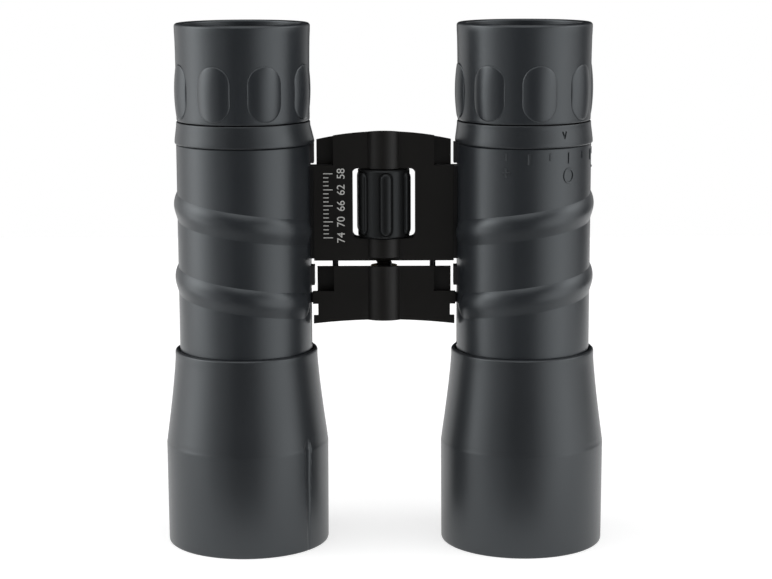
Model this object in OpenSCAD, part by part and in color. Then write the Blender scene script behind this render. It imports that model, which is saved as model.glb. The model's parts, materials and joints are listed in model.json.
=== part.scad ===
// Compact roof-prism binoculars with two hinges, standing on their lens hoods.
// Millimetres. +Z runs up the barrels, -Y is the front, the barrels stand at -X and +X.
// Each side is drawn once, as the right one: its axis at the origin, the bridge towards -X.

/* [Layout] */
// Distance between the barrel axes, fully open
axis_gap = 68; // [66:0.5:74]
// Distance of each hinge rod from the grip beside it
hinge_setback = 5.97; // [5.2:0.01:6.5]
// Radius of a hinge rod
rod_r = 0.72; // [0.6:0.02:0.9]
// Radial clearance where one piece runs in another
run_fit = 0.05; // [0.03:0.01:0.07]
// Radial clearance where one piece is seated in another
seat_fit = 0.02; // [0.01:0.01:0.04]

/* [Objective lenses] */
// Radius of the clear aperture
aperture_r = 16; // [15:0.25:17]
// Width of the lip that holds the lens edge
lens_lip = 0.6; // [0.4:0.05:0.8]
// Wall of the lens cell
cell_wall = 1.25; // [1:0.05:1.6]
// Height of the lens cell
cell_h = 11.2; // [10:0.1:13]
// Height of the cell's front rim above the ground
cell_z = 10.7; // [10.5:0.1:12]
// Wall of the sliding carrier tube
carrier_wall = 0.9; // [0.7:0.05:1.2]
// Height of the carrier tube's top end
carrier_top = 66; // [65:0.25:68]

/* [Lens hoods] */
// Height of a hood
hood_h = 48.4; // [46:0.2:51]
// Wall of the hood at its mouth
hood_wall = 1.75; // [1.4:0.05:2.2]
// Gap between the lens cell and the hood
hood_gap = 0.4; // [0.3:0.05:0.8]
// Height of the straight part of the hood
hood_straight = 24.5; // [22:0.5:27]
// Gap between the hood's top and the grip inside it
hood_top_gap = 0.5; // [0.2:0.05:0.8]
// Wall of the hood at its top
hood_top_wall = 0.87; // [0.6:0.01:1.4]
// Depth of the recess in the mouth that takes a cap
cap_seat_h = 7.5; // [5:0.25:7.5]

/* [Barrels] */
// Outer radius of the barrel tube
barrel_r = 15.35; // [15:0.05:15.6]
// Wall of the barrel tube
barrel_wall = 0.75; // [0.6:0.05:1]
// Wall of the rubber grip over it
grip_wall = 0.78; // [0.7:0.02:0.9]
// Height of the shoulder that the eyepiece stands on
shoulder_z = 99.1; // [98.5:0.1:101]
// Width of a spiral ridge
ridge_w = 7.1; // [5:0.1:8]
// Height of a ridge above the grip
ridge_h = 0.75; // [0.4:0.05:0.9]
// Rise of a ridge in one turn
ridge_lead = 14.7; // [12:0.1:17]
// Distance between the two spiral ridges of a barrel
ridge_pitch = 17.85; // [15:0.05:19]
// Height of the upper ridge's crest at the front
ridge_z = 80.05; // [77:0.05:82]
// Where the upper ridge starts, from the front, towards the bridge
ridge_start = -82; // [-82:1:-60]
// Where the lower ridge starts
lower_ridge_start = -74; // [-82:1:-60]
// Where both ridges end, at the back
ridge_end = 245; // [200:1:250]
// Thickness of the web that joins a barrel to its hinge
web_t = 4; // [3:0.1:4.2]

/* [Bridge] */
// Height of the upper bridge's lower edge
upper_z = 70.5; // [70.2:0.1:71.4]
// Height of the upper bridge
upper_h = 31.6; // [30.5:0.1:32.5]
// Depth of the notch in each upper corner
notch_h = 8.3; // [8:0.1:9.2]
// How far the bridge reaches past the hinge rods between the notches
notch_inset = 0.3; // [0:0.1:0.9]
// Distance from the hinge plane to the front face
plate_front = 3.35; // [3.3:0.05:3.8]
// Thickness of the front plate
plate_t = 1.05; // [0.8:0.05:1.1]
// Distance from the hinge plane to the back face
slab_back = 2.2; // [1.8:0.1:2.6]
// How far an ear reaches beyond its hinge rod
ear_reach = 4.4; // [4.1:0.1:4.5]
// Distance from the hinge plane to an ear's front
ear_front = 1.2; // [1.1:0.1:2]
// Gap between an ear and the bumper on the barrel
slit_w = 0.65; // [0.55:0.05:0.8]
// Radius of the boss round the focusing screw
boss_r = 5.15; // [4.8:0.05:5.5]
// Radius of the arched top edge
arch_r = 77; // [60:1:120]
// Slope of the bridges' top faces down to the back
top_fall = 9; // [0:1:10]
// Gap between the two bridges
bridge_gap = 1.3; // [1.3:0.1:2.2]
// Height of the focusing bridge
lower_h = 13.3; // [12.8:0.1:14]
// Radius of the arched bottom edge
foot_arch_r = 150; // [120:5:250]

/* [Focusing] */
// Radius over the ridges of the focusing wheel
wheel_r = 7; // [6.4:0.1:7.1]
// Height of the window that the wheel turns in
window_h = 17.15; // [16:0.05:17.5]
// Width of the window
window_w = 15.2; // [14.6:0.1:16]
// Number of ridges on the wheel
wheel_ridges = 6; // [5:1:8]
// Radius of the focusing screw
screw_r = 2; // [1.8:0.1:2.3]
// Travel of the focusing bridge up
focus_up = 0.9; // [0.5:0.1:0.9]
// Travel of the focusing bridge down
focus_down = 2.5; // [2:0.1:2.7]
// Thickness of the arm that moves a lens carrier
arm_t = 2.1; // [1.8:0.1:2.3]
// Width of that arm
arm_w = 3; // [2.4:0.1:3.2]

/* [Eyepieces] */
// Height of the collar or dioptre ring
ring_h = 5.3; // [5:0.1:7]
// Wall of the ring at its top
ring_top_wall = 1.75; // [1.6:0.05:2.2]
// How far the ring's foot stands out from the grip
ring_foot_step = 0.37; // [0.1:0.01:0.7]
// Height of the eyepiece tube above the shoulder
tube_h = 19.4; // [19:0.1:20.5]
// Wall of the eyepiece tube
tube_wall = 1.35; // [1.1:0.05:1.6]
// Wall of the cell that holds the eyepiece lenses
eye_cell_wall = 3.3; // [2.8:0.1:4.5]
// Travel of the dioptre adjustment each way
dioptre_travel = 0.45; // [0.3:0.05:0.5]

/* [Eyecups] */
// Height of an eyecup
cup_h = 23.35; // [22.5:0.05:26]
// Thickness of the rubber at the eyecup's waist
cup_wall = 0.66; // [0.6:0.02:1]
// How far the rim stands out from the waist
cup_flare = 0.37; // [0.2:0.01:0.7]
// Travel of the eyecup
cup_travel = 6; // [4:0.25:6.5]
// Wall of the sleeve inside the eyecup
sleeve_wall = 0.73; // [0.6:0.01:0.78]
// Width of an oval grip pad
pad_w = 7.8; // [6:0.1:9]
// Height of a grip pad
pad_h = 12.8; // [10:0.1:13.2]
// Height of a pad above the waist
pad_proud = 0.85; // [0.5:0.05:1.1]
// Number of grip pads
pads = 8; // [6:1:9]
// Turn of the left eyecup as it stands
left_cup_turn = 25.3; // [0:0.1:45]
// Turn of the right eyecup as it stands
right_cup_turn = 14.3; // [0:0.1:45]

/* [Prisms] */
// Half the height of the prism pair
prism_half = 7; // [6.5:0.1:7.2]
// Depth of the prisms, front to back
prism_depth = 12.4; // [11:0.1:12.8]
// Air gap between the two prisms
prism_gap = 0.3; // [0.2:0.05:0.5]

/* [Hidden] */
$fn = 96;
far = 60;
cut = 0.5;

bore_r = barrel_r - barrel_wall;
grip_r = barrel_r + grip_wall;
side_x = axis_gap / 2;
hinge_x = side_x - grip_r - hinge_setback;
hinge_arm = side_x - hinge_x;

lens_r = aperture_r + lens_lip;
cell_r = lens_r + seat_fit + cell_wall;
cell_top = cell_z + cell_h;
lens_shelf_h = 1;
crown_z = cell_z + 0.1;
crown_h = 6.4;
flint_h = 1.8;
lens_seat_z = crown_z + crown_h + flint_h;
crown_front_r = 75;
crown_back_r = 52;
carrier_r = bore_r - run_fit;

hood_bore_r = cell_r + hood_gap;
hood_r = hood_bore_r + hood_wall;
cap_seat_step = 0.5;
cap_seat_r = hood_bore_r + cap_seat_step;
hood_collar_r = grip_r + hood_top_gap;
hood_top_r = hood_collar_r + hood_top_wall;
hood_lip_round = 0.6;
hood_flare_top = hood_h - 1.8;
hood_overlap = 7.4;
hood_collar_h = 3.4;
hood_ledge_h = 0.8;
barrel_z = hood_h - hood_overlap;
cone_z = barrel_z - hood_ledge_h - focus_up - 0.3;

upper_top = upper_z + upper_h;
notch_z = upper_top - notch_h;
notch_x = hinge_x + notch_inset;
plate_back = plate_front - plate_t;
plate_clear = 0.12;
plate_half_w = side_x - grip_r - ridge_h - plate_clear;
tab_half_w = plate_half_w + 0.4;
core_half_w = hinge_x - 2.4;
ear_x = hinge_x + ear_reach;
ear_round_r = ear_reach + 0.35;
foot_half_w = ear_x - 0.2;
bumper_x = side_x - ear_x - slit_w;
eye_r = web_t / 2;
lug_gap = 0.3;
ear_h = 4.4;
lug_z = upper_z + ear_h + lug_gap;
lug_top = notch_z - lug_gap;
bumper_z = notch_z + 0.4;
rod_cover = 2.2;
rod_top = upper_top - rod_cover;

lower_top = upper_z - bridge_gap;
lower_z = lower_top - lower_h;
head_ear_h = 7;
arm_gap = 0.25;
arm_top = lower_top - head_ear_h - arm_gap;
arm_z = arm_top - arm_t;
foot_ear_top = arm_z - arm_gap;
tab_z = foot_ear_top + 0.2;
tab_h = 3.1;
foot_tab_z = lower_z + 1;
rod_foot = lower_z - 0.2;
slot_z = arm_z - focus_down - 0.25;
slot_h = arm_t + focus_down + focus_up + 0.5;
slot_w = arm_w + 0.2;
low_bumper_z = slot_z + slot_h + 1.1;
low_bumper_h = lower_top - 0.3 - low_bumper_z;

washer_t = 0.2;
washer_gap = 0.05;
window_z = upper_z + 5.4;
window_corner = 1.2;
wheel_z = window_z + washer_t + washer_gap;
wheel_h = window_h - 2 * (washer_t + washer_gap);
wheel_ridge_r = 1.7;
wheel_core_r = wheel_r - 0.7;
wheel_turn = 5;
shaft_r = screw_r - 0.5;
screw_foot = lower_z + 1.9;
shaft_top = window_z + window_h + 5;
bushing_r = shaft_r + run_fit + 1;
bushing_h = 4.6;
nut_r = screw_r + run_fit + 1.2;
nut_z = lower_z + 3.9;
nut_h = lower_top - 0.3 - nut_z;
pin_r = 0.5;

flange_h = 0.8;
skirt_h = 5.9;
tube_r = bore_r - 0.4;
tube_bore_r = tube_r - tube_wall;
tube_top = shoulder_z + tube_h;
ring_gap = 0.05;
ring_z = shoulder_z + ring_gap;
ring_top = shoulder_z + ring_h;
ring_bore_r = tube_r + run_fit;
ring_top_r = ring_bore_r + ring_top_wall;
ring_foot_r = grip_r + ring_foot_step;
eye_cell_r = tube_bore_r - run_fit;
eye_lens_r = eye_cell_r - eye_cell_wall;
eye_cell_z = shoulder_z - 2.8;
eye_cell_top = tube_top - 1.1;
eye_cell_floor = eye_cell_z + 1;
field_stop_h = 0.8;
field_stop_wall = 3.3;
field_lens_z = eye_cell_floor + field_stop_h;
field_lens_h = 3;
field_lens_front_r = 60;
field_lens_back_r = 44;
eye_lens_h = 4.2;
eye_lens_front_r = 90;
eye_lens_back_r = 32;
eye_ring_h = 1.4;
eye_ring_wall = 1;
spacer_wall = 0.9;
eye_ring_z = eye_cell_top - 0.8 - eye_ring_h;
eye_lens_z = eye_ring_z - eye_lens_h;
dioptre_pin_r = 0.7;
dioptre_pin_z = shoulder_z + 3.3;
dioptre_groove_h = 2 * (dioptre_pin_r + dioptre_travel + 0.1);
dioptre_groove_r = tube_r + 0.9;

cup_gap = 0.25;
cup_z = ring_top + cup_gap;
cup_top = cup_z + cup_h;
sleeve_bore_r = tube_r + run_fit + 0.02;
sleeve_r = sleeve_bore_r + sleeve_wall;
cup_bore_r = sleeve_r + seat_fit;
cup_r = cup_bore_r + cup_wall;
cup_rim_r = cup_r + cup_flare;
cup_waist_drop = 9.45;
cup_flare_drop = 4.65;
cup_rim_drop = 2.6;
cup_foot_h = 6;
glide_z = cup_z + 0.6;
glide_h = 1.7;
sleeve_z = glide_z + glide_h + 0.1;
sleeve_top = tube_top + 1.4;
cup_floor = sleeve_top + 0.4;
key_w = 2;
key_depth = 1.1;
key_slot_h = glide_h + cup_travel + 0.5;
pad_z = cup_z + pad_h / 2 + 0.4;

cage_top = shoulder_z - skirt_h;
cage_r = bore_r - seat_fit;
cage_roof_h = 4.8;
cage_floor_h = 2.3;
prism_z = cage_top - cage_roof_h - prism_half;
cage_z = prism_z - prism_half - cage_floor_h;
chamber_w = 25.2;

bridge_black = "#1c1b1a";
grip_grey = "#33363b";
shell_grey = "#2b2d30";
inner_black = "#141415";
steel = "#9a9c9e";
brass = "#b08d4a";
glass_tint = "#8fb4c4";

// ---------- shared shapes ----------

module at_right() {
    translate([side_x, 0, 0]) children();
}

module at_left() {
    translate([-side_x, 0, 0]) mirror([1, 0, 0]) children();
}

module both_sides() {
    children();
    mirror([1, 0, 0]) children();
}

module tube(z, h, outer, inner) {
    translate([0, 0, z]) difference() {
        cylinder(h = h, r = outer);
        translate([0, 0, -cut]) cylinder(h = h + 2 * cut, r = inner);
    }
}

// A plate in the X-Z plane, from its front at -front towards the back
module upright(front, thickness) {
    translate([0, thickness - front, 0]) rotate([90, 0, 0]) linear_extrude(thickness) children();
}

// Tilts a cutter about the plate's front edge at height z, so that its top falls to the back
module falling_back(z) {
    translate([0, -plate_front, z]) rotate([-top_fall, 0, 0]) translate([0, plate_front, -z]) children();
}

function arc(centre, r, a0, a1, steps) =
    [for (i = [0:steps]) let (a = a0 + (a1 - a0) * i / steps) centre + r * [cos(a), sin(a)]];

// ---------- bridge ----------

module upper_plate_outline() {
    translate([-plate_half_w, upper_z]) square([2 * plate_half_w, notch_z - upper_z]);
    translate([-notch_x, upper_z]) square([2 * notch_x, upper_h]);
}

module ear_outline(front, reach, round_r) {
    intersection() {
        translate([core_half_w - 1, -front]) square([hinge_x + reach - core_half_w + 1, front + slab_back]);
        union() {
            translate([hinge_x, 0]) circle(round_r);
            translate([0, -far]) square([hinge_x, 2 * far]);
        }
    }
}

module ear(z, h, front, reach, round_r) {
    translate([0, 0, z]) linear_extrude(h) ear_outline(front, reach, round_r);
}

module rod_bore(z, h, fit) {
    translate([hinge_x, 0, z]) cylinder(h = h, r = rod_r + fit);
}

module window_outline() {
    inner_w = window_w - 2 * window_corner;
    inner_h = window_h - 2 * window_corner;
    translate([-window_w / 2, window_z + window_corner]) square([window_w, inner_h]);
    translate([-inner_w / 2, window_z]) square([inner_w, window_h]);
    for (x = [-1, 1], top = [0, 1])
        translate([x * inner_w / 2, window_z + window_corner + top * inner_h]) circle(window_corner);
}

module upper_bridge() {
    color(bridge_black) difference() {
        intersection() {
            union() {
                upright(plate_front, plate_t) upper_plate_outline();
                translate([-core_half_w, -plate_front + cut, upper_z])
                    cube([2 * core_half_w, plate_front - cut + slab_back, upper_h]);
                both_sides() ear(notch_z, notch_h, ear_front, ear_reach, ear_round_r);
                both_sides() ear(upper_z, ear_h, plate_back + cut, ear_reach - 0.2, ear_round_r);
                both_sides() translate([core_half_w - 1, -plate_front + cut, notch_z])
                    cube([notch_x - core_half_w + 1, plate_front - cut, notch_h]);
                translate([0, 0, upper_z]) cylinder(h = 0.9, r1 = boss_r - 1.7, r2 = boss_r);
                translate([0, 0, upper_z + 0.9]) cylinder(h = upper_h, r = boss_r);
            }
            falling_back(upper_top) upright(far / 2, far) translate([0, upper_top - arch_r]) circle(arch_r);
        }
        upright(far / 2, far) window_outline();
        both_sides() rod_bore(upper_z - cut, rod_top + 0.2 - upper_z + cut, seat_fit);
        translate([0, 0, upper_z - cut]) cylinder(h = window_z - upper_z + 2 * cut, r = screw_r + run_fit);
        translate([0, 0, window_z + window_h - cut]) cylinder(h = bushing_h + cut, r = bushing_r + seat_fit);
        translate([0, 0, window_z + window_h]) cylinder(h = 5.3, r = shaft_r + run_fit);
    }
}

module hinge_rod() {
    color(steel) translate([hinge_x, 0, rod_foot]) cylinder(h = rod_top - rod_foot, r = rod_r);
}

module right_hinge_rod() {
    hinge_rod();
}

module left_hinge_rod() {
    mirror([1, 0, 0]) hinge_rod();
}

module shaft_bushing() {
    color(brass) tube(window_z + window_h, bushing_h, bushing_r, shaft_r + run_fit);
}

module thrust_washers() {
    color(steel) {
        tube(window_z, washer_t, screw_r + 1.6, screw_r + run_fit);
        tube(window_z + window_h - washer_t, washer_t, screw_r + 1.6, shaft_r + run_fit);
    }
}

// ---------- focusing wheel and bridge ----------

module wheel_ridge() {
    ridge_len = wheel_h - 2.2;
    translate([0, 0, wheel_z + (wheel_h - ridge_len) / 2 + wheel_ridge_r]) {
        cylinder(h = ridge_len - 2 * wheel_ridge_r, r = wheel_ridge_r);
        sphere(wheel_ridge_r);
        translate([0, 0, ridge_len - 2 * wheel_ridge_r]) sphere(wheel_ridge_r);
    }
}

module wheel_pin_hole(fit) {
    translate([0, 0, wheel_z + wheel_h / 2]) rotate([0, 90, 0])
        cylinder(h = 2 * wheel_core_r - 0.6, r = pin_r + fit, center = true);
}

module focus_wheel() {
    bevel = 0.4;
    color(inner_black) difference() {
        union() {
            translate([0, 0, wheel_z]) cylinder(h = bevel, r1 = wheel_core_r - bevel, r2 = wheel_core_r);
            translate([0, 0, wheel_z + bevel]) cylinder(h = wheel_h - 2 * bevel, r = wheel_core_r);
            translate([0, 0, wheel_z + wheel_h - bevel])
                cylinder(h = bevel, r1 = wheel_core_r, r2 = wheel_core_r - bevel);
            for (i = [0:wheel_ridges - 1])
                rotate(wheel_turn + 360 * i / wheel_ridges)
                    translate([0, -(wheel_r - wheel_ridge_r), 0]) wheel_ridge();
        }
        translate([0, 0, wheel_z - cut]) cylinder(h = wheel_h + 2 * cut, r = shaft_r + seat_fit);
        wheel_pin_hole(seat_fit);
    }
}

module focus_screw() {
    color(steel) difference() {
        union() {
            translate([0, 0, screw_foot]) cylinder(h = wheel_z - screw_foot, r = screw_r);
            translate([0, 0, wheel_z]) cylinder(h = shaft_top - wheel_z, r = shaft_r);
        }
        wheel_pin_hole(seat_fit);
    }
}

module wheel_pin() {
    color(steel) wheel_pin_hole(0);
}

module lower_plate_outline() {
    translate([-notch_x, lower_z]) square([2 * notch_x, lower_h]);
    translate([-tab_half_w, tab_z]) square([2 * tab_half_w, tab_h]);
    translate([-foot_half_w, lower_z - 3]) square([2 * foot_half_w, tab_z - lower_z + 3 + cut]);
    translate([-tab_half_w + 0.2, lower_z - 3]) square([2 * tab_half_w - 0.4, foot_tab_z - lower_z + 3]);
}

module focus_bridge() {
    color(bridge_black) difference() {
        union() {
            upright(plate_front, plate_t) lower_plate_outline();
            translate([-core_half_w, -plate_front + cut, lower_z])
                cube([2 * core_half_w, plate_front - cut + slab_back, lower_h]);
            both_sides() ear(lower_top - head_ear_h, head_ear_h, ear_front, ear_reach, ear_round_r);
            both_sides() translate([core_half_w - 1, -plate_front + cut, lower_top - head_ear_h])
                cube([notch_x - core_half_w + 1, plate_front - cut, head_ear_h]);
            both_sides() ear(lower_z - 3, foot_ear_top - lower_z + 3, plate_back + cut, ear_reach - 0.4, ear_round_r);
            translate([0, 0, lower_z - 3]) cylinder(h = lower_h + 3, r = boss_r);
        }
        upright(far / 2, far) translate([0, lower_z - foot_arch_r]) circle(foot_arch_r);
        falling_back(lower_top) translate([-far / 2, -far / 2, lower_top]) cube(far);
        both_sides() rod_bore(lower_z - far / 2, far, run_fit);
        translate([0, 0, nut_z]) cylinder(h = far, r = nut_r + seat_fit);
        translate([0, 0, screw_foot - focus_up - 0.3]) cylinder(h = far, r = screw_r + 0.3);
    }
}

module focus_nut() {
    color(brass) tube(nut_z, nut_h, nut_r, screw_r + run_fit);
}

// ---------- barrel ----------

module bumper(z, h) {
    translate([-bumper_x, -web_t / 2, z]) cube([bumper_x - barrel_r + 1, web_t, h]);
}

module barrel() {
    color(inner_black) difference() {
        union() {
            translate([0, 0, barrel_z]) cylinder(h = shoulder_z - barrel_z, r = barrel_r);
            intersection() {
                translate([0, 0, hood_h + 1]) cylinder(h = shoulder_z - hood_h - 1, r = grip_r);
                translate([-far, -web_t / 2 - 0.2, 0]) cube([far, web_t + 0.4, 2 * far]);
            }
            translate([-hinge_arm, -web_t / 2, lug_z])
                cube([hinge_arm - barrel_r + 1, web_t, lug_top - lug_z]);
            translate([-hinge_arm, 0, lug_z]) cylinder(h = lug_top - lug_z, r = eye_r);
            bumper(bumper_z, shoulder_z - bumper_z);
            bumper(upper_z + 0.3, lug_z - upper_z);
            bumper(low_bumper_z, low_bumper_h);
        }
        translate([0, 0, barrel_z - cut]) cylinder(h = far * 2, r = bore_r);
        translate([-far, -slot_w / 2, slot_z]) cube([far, slot_w, slot_h]);
        translate([-hinge_arm, 0, lug_z - cut])
            cylinder(h = lug_top - lug_z + 2 * cut, r = rod_r + run_fit);
    }
}

// Section of a ridge in the plane of the axis, as [radius, height above the crest line]
ridge_sink = 0.12;
ridge_root_r = grip_r - 0.45;
function ridge_section(scale) = let (half_w = scale * ridge_w / 2 * 1.08) concat(
    [for (v = [-1:0.25:1]) [grip_r - ridge_sink + (ridge_h * scale + ridge_sink) * (1 - v * v), v * half_w]],
    [[ridge_root_r, half_w], [ridge_root_r, -half_w]]
);

// Rounds a ridge off over its last degrees
ridge_end_turn = 14;
function ridge_scale(from_end) =
    from_end >= ridge_end_turn ? 1 : max(0.15, sqrt(1 - pow(1 - from_end / ridge_end_turn, 2)));

function ridge_ring(a, scale, crest_z) =
    [for (p = ridge_section(scale)) [p.x * sin(a), -p.x * cos(a), crest_z + ridge_lead * a / 360 + p.y]];

module ridge(crest_z, start, end) {
    n = len(ridge_section(1));
    last = ceil((end - start) / 7);
    angles = [for (k = [0:last]) start + (end - start) * k / last];
    rings = [for (a = angles) ridge_ring(a, ridge_scale(min(a - start, end - a)), crest_z)];
    walls = [
        for (k = [0:last - 1], i = [0:n - 1])
            let (a = k * n + i, b = k * n + (i + 1) % n)
            each [[a, b, b + n], [a, b + n, a + n]]
    ];
    first_cap = [for (i = [1:n - 2]) [0, i + 1, i]];
    last_cap = [for (i = [1:n - 2]) [last * n, last * n + i, last * n + i + 1]];
    polyhedron([for (ring = rings) each ring], concat(first_cap, walls, last_cap));
}

module grip() {
    grip_z = hood_h - hood_collar_h + 0.2;
    color(grip_grey) union() {
        difference() {
            tube(grip_z, shoulder_z - 0.1 - grip_z, grip_r, barrel_r + seat_fit);
            translate([-far, -web_t / 2 - 0.3, hood_h + 0.9]) cube([far, web_t + 0.6, far]);
        }
        ridge(ridge_z, ridge_start, ridge_end);
        ridge(ridge_z - ridge_pitch, lower_ridge_start, ridge_end);
    }
}

hood_shoulder_step = 0.2;
flare_power = 1.25;
function flare_r(t) = hood_top_r + (hood_r - hood_shoulder_step - hood_top_r) * pow(1 - t, flare_power);

module hood() {
    flare = [for (t = [0:1 / 12:1.001]) [flare_r(min(t, 1)), hood_straight + (hood_flare_top - hood_straight) * t]];
    outside = concat(
        [[hood_r - 0.55, 0], [hood_r - 0.2, 0.1], [hood_r - 0.05, 0.35], [hood_r, 0.8]],
        [[hood_r - 0.12, hood_straight - 1.4], [hood_r - hood_shoulder_step, hood_straight - 0.8]],
        flare,
        arc([hood_top_r - hood_lip_round, hood_h - hood_lip_round], hood_lip_round, 10, 90, 4)
    );
    inside = [
        [hood_collar_r, hood_h], [hood_collar_r, hood_h - hood_collar_h],
        [barrel_r + seat_fit, hood_h - hood_collar_h], [barrel_r + seat_fit, barrel_z],
        [carrier_r + 0.2, barrel_z], [carrier_r + 0.2, barrel_z - hood_ledge_h],
        [hood_collar_r, barrel_z - hood_ledge_h - 2.5],
        [hood_bore_r, hood_straight + 1], [hood_bore_r, cap_seat_h],
        [cap_seat_r, cap_seat_h], [cap_seat_r, 0.3], [cap_seat_r + 0.2, 0]
    ];
    color(shell_grey) rotate_extrude() polygon(concat(outside, inside));
}

// ---------- eyepiece ----------

module eyepiece_tube(has_dioptre) {
    color(inner_black) difference() {
        rotate_extrude() polygon([
            [tube_bore_r, shoulder_z - skirt_h], [bore_r - seat_fit, shoulder_z - skirt_h],
            [bore_r - seat_fit, shoulder_z], [barrel_r, shoulder_z],
            [barrel_r, shoulder_z + flange_h], [tube_r, shoulder_z + flange_h],
            [tube_r, tube_top], [tube_bore_r, tube_top]
        ]);
        translate([-key_w / 2 - run_fit, 0, glide_z - 0.2]) cube([key_w + 2 * run_fit, far, key_slot_h]);
        if (has_dioptre)
            translate([0, -dioptre_pin_r - run_fit, dioptre_pin_z - dioptre_groove_h / 2])
                cube([far, 2 * (dioptre_pin_r + run_fit), dioptre_groove_h]);
    }
}

module ring_body() {
    rotate_extrude() polygon([
        [ring_bore_r, shoulder_z + flange_h + ring_gap], [barrel_r + run_fit, shoulder_z + flange_h + ring_gap],
        [barrel_r + run_fit, ring_z], [ring_foot_r - 0.15, ring_z], [ring_foot_r, ring_z + 0.2],
        [ring_foot_r - 0.04, ring_z + 0.9], [ring_top_r + 0.06, ring_top - 1],
        [ring_top_r, ring_top - 0.2], [ring_top_r - 0.15, ring_top], [ring_bore_r, ring_top]
    ]);
}

module collar() {
    lean = 0.55;
    color(grip_grey) difference() {
        union() {
            ring_body();
            translate([-lean, 0, ring_z]) cylinder(h = ring_h * 0.75, r1 = ring_foot_r - 0.02, r2 = ring_top_r - lean);
        }
        translate([0, 0, ring_z - cut]) cylinder(h = ring_h + 2 * cut, r = ring_bore_r);
        translate([0, 0, ring_z - cut]) cylinder(h = cut + flange_h, r = barrel_r + run_fit);
    }
}

module dioptre_ring_body() {
    color(grip_grey) difference() {
        ring_body();
        translate([0, 0, dioptre_pin_z - dioptre_groove_h / 2])
            cylinder(h = dioptre_groove_h, r = dioptre_groove_r);
    }
}

module ocular_cell(has_dioptre) {
    color(inner_black) difference() {
        rotate_extrude() polygon([
            [eye_lens_r - 2, eye_cell_z], [eye_cell_r, eye_cell_z],
            [eye_cell_r, eye_cell_top - 0.3], [eye_cell_r - 0.3, eye_cell_top],
            [eye_lens_r + 1.4, eye_cell_top], [eye_lens_r + seat_fit, eye_cell_top - 0.8],
            [eye_lens_r + seat_fit, eye_cell_floor], [eye_lens_r - 2, eye_cell_floor]
        ]);
        if (has_dioptre)
            translate([eye_lens_r + 1.2, 0, dioptre_pin_z]) rotate([0, 90, 0])
                cylinder(h = far, r = dioptre_pin_r + seat_fit);
    }
}

module dioptre_pin_body() {
    color(steel) translate([eye_lens_r + 1.2, 0, dioptre_pin_z]) rotate([0, 90, 0])
        cylinder(h = dioptre_groove_r - 0.1 - eye_lens_r - 1.2, r = dioptre_pin_r);
}

module field_stop() {
    color(inner_black) tube(eye_cell_floor, field_stop_h, eye_lens_r - seat_fit,
        eye_lens_r - field_stop_wall);
}

// Height of a spherical face above its own middle, at distance x from the axis
function sag(curvature_r, x) = curvature_r - sqrt(curvature_r * curvature_r - x * x);

// A lens standing on z: below and above are the curvature radii of its two faces
module lens(z, h, r, below, above) {
    rise = [0, 0.2, 0.4, 0.6, 0.8, 1];
    fall = [1, 0.8, 0.6, 0.4, 0.2, 0];
    rotate_extrude() polygon(concat(
        [for (t = rise) [r * t, z + sag(below, r * t)]],
        [for (t = fall) [r * t, z + h - sag(above, r * t)]]
    ));
}

module field_lens() {
    color(glass_tint) lens(field_lens_z, field_lens_h, eye_lens_r - seat_fit,
        field_lens_front_r, field_lens_back_r);
}

module ocular_spacer() {
    spacer_z = field_lens_z + field_lens_h;
    edge_drop = sag(field_lens_back_r, eye_lens_r - spacer_wall);
    color(inner_black)
        tube(spacer_z - edge_drop, eye_lens_z - spacer_z + edge_drop, eye_lens_r - seat_fit,
            eye_lens_r - spacer_wall);
}

module eye_lens() {
    color(glass_tint) lens(eye_lens_z, eye_lens_h, eye_lens_r - seat_fit, eye_lens_front_r, eye_lens_back_r);
}

module ocular_ring() {
    edge_drop = sag(eye_lens_back_r, eye_lens_r - eye_ring_wall);
    color(inner_black) difference() {
        tube(eye_ring_z - edge_drop, eye_ring_h + edge_drop, eye_lens_r - seat_fit, eye_lens_r - eye_ring_wall);
        for (side = [-1, 1])
            translate([side * eye_lens_r - 0.7, -0.5, eye_ring_z + 0.6]) cube([1.4, 1, eye_ring_h]);
    }
}

// ---------- eyecup ----------

module glide_ring() {
    color(shell_grey) {
        tube(glide_z, glide_h, sleeve_r - 0.03, sleeve_bore_r);
        intersection() {
            tube(glide_z + 0.15, glide_h - 0.3, sleeve_r - 0.1, sleeve_bore_r - key_depth);
            translate([-key_w / 2, 0, 0]) cube([key_w, far, 2 * far]);
        }
    }
}

module eyecup_sleeve() {
    color(inner_black) rotate_extrude() polygon([
        [sleeve_bore_r, sleeve_z], [sleeve_r, sleeve_z], [sleeve_r, sleeve_top],
        [tube_bore_r - 0.4, sleeve_top], [tube_bore_r - 0.4, sleeve_top - 0.9],
        [sleeve_bore_r, sleeve_top - 0.9]
    ]);
}

// Body of the eyecup without its pads
module cup_shell() {
    rim_round = 0.75;
    bead_round = 0.5;
    rotate_extrude() polygon(concat(
        [[sleeve_bore_r + 0.1, cup_z], [cup_r + 0.12, cup_z], [cup_r + 0.27, cup_z + 0.2],
         [cup_r + 0.2, cup_z + 1.2], [cup_r + 0.06, cup_z + cup_foot_h],
         [cup_r - 0.03, cup_top - cup_waist_drop], [cup_r + 0.09, cup_top - cup_flare_drop],
         [cup_rim_r - 0.1, cup_top - cup_rim_drop]],
        arc([cup_rim_r - rim_round, cup_top - rim_round], rim_round, 0, 90, 6),
        arc([sleeve_r - 0.4, cup_top - bead_round], bead_round, 90, 180, 4),
        [[sleeve_r - 0.5, cup_floor + 1], [sleeve_r - 1, cup_floor],
         [tube_bore_r, cup_floor], [tube_bore_r, sleeve_top + seat_fit],
         [cup_bore_r, sleeve_top + seat_fit], [cup_bore_r, glide_z - 0.1],
         [sleeve_bore_r + 0.1, glide_z - 0.1]]
    ));
}

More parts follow.
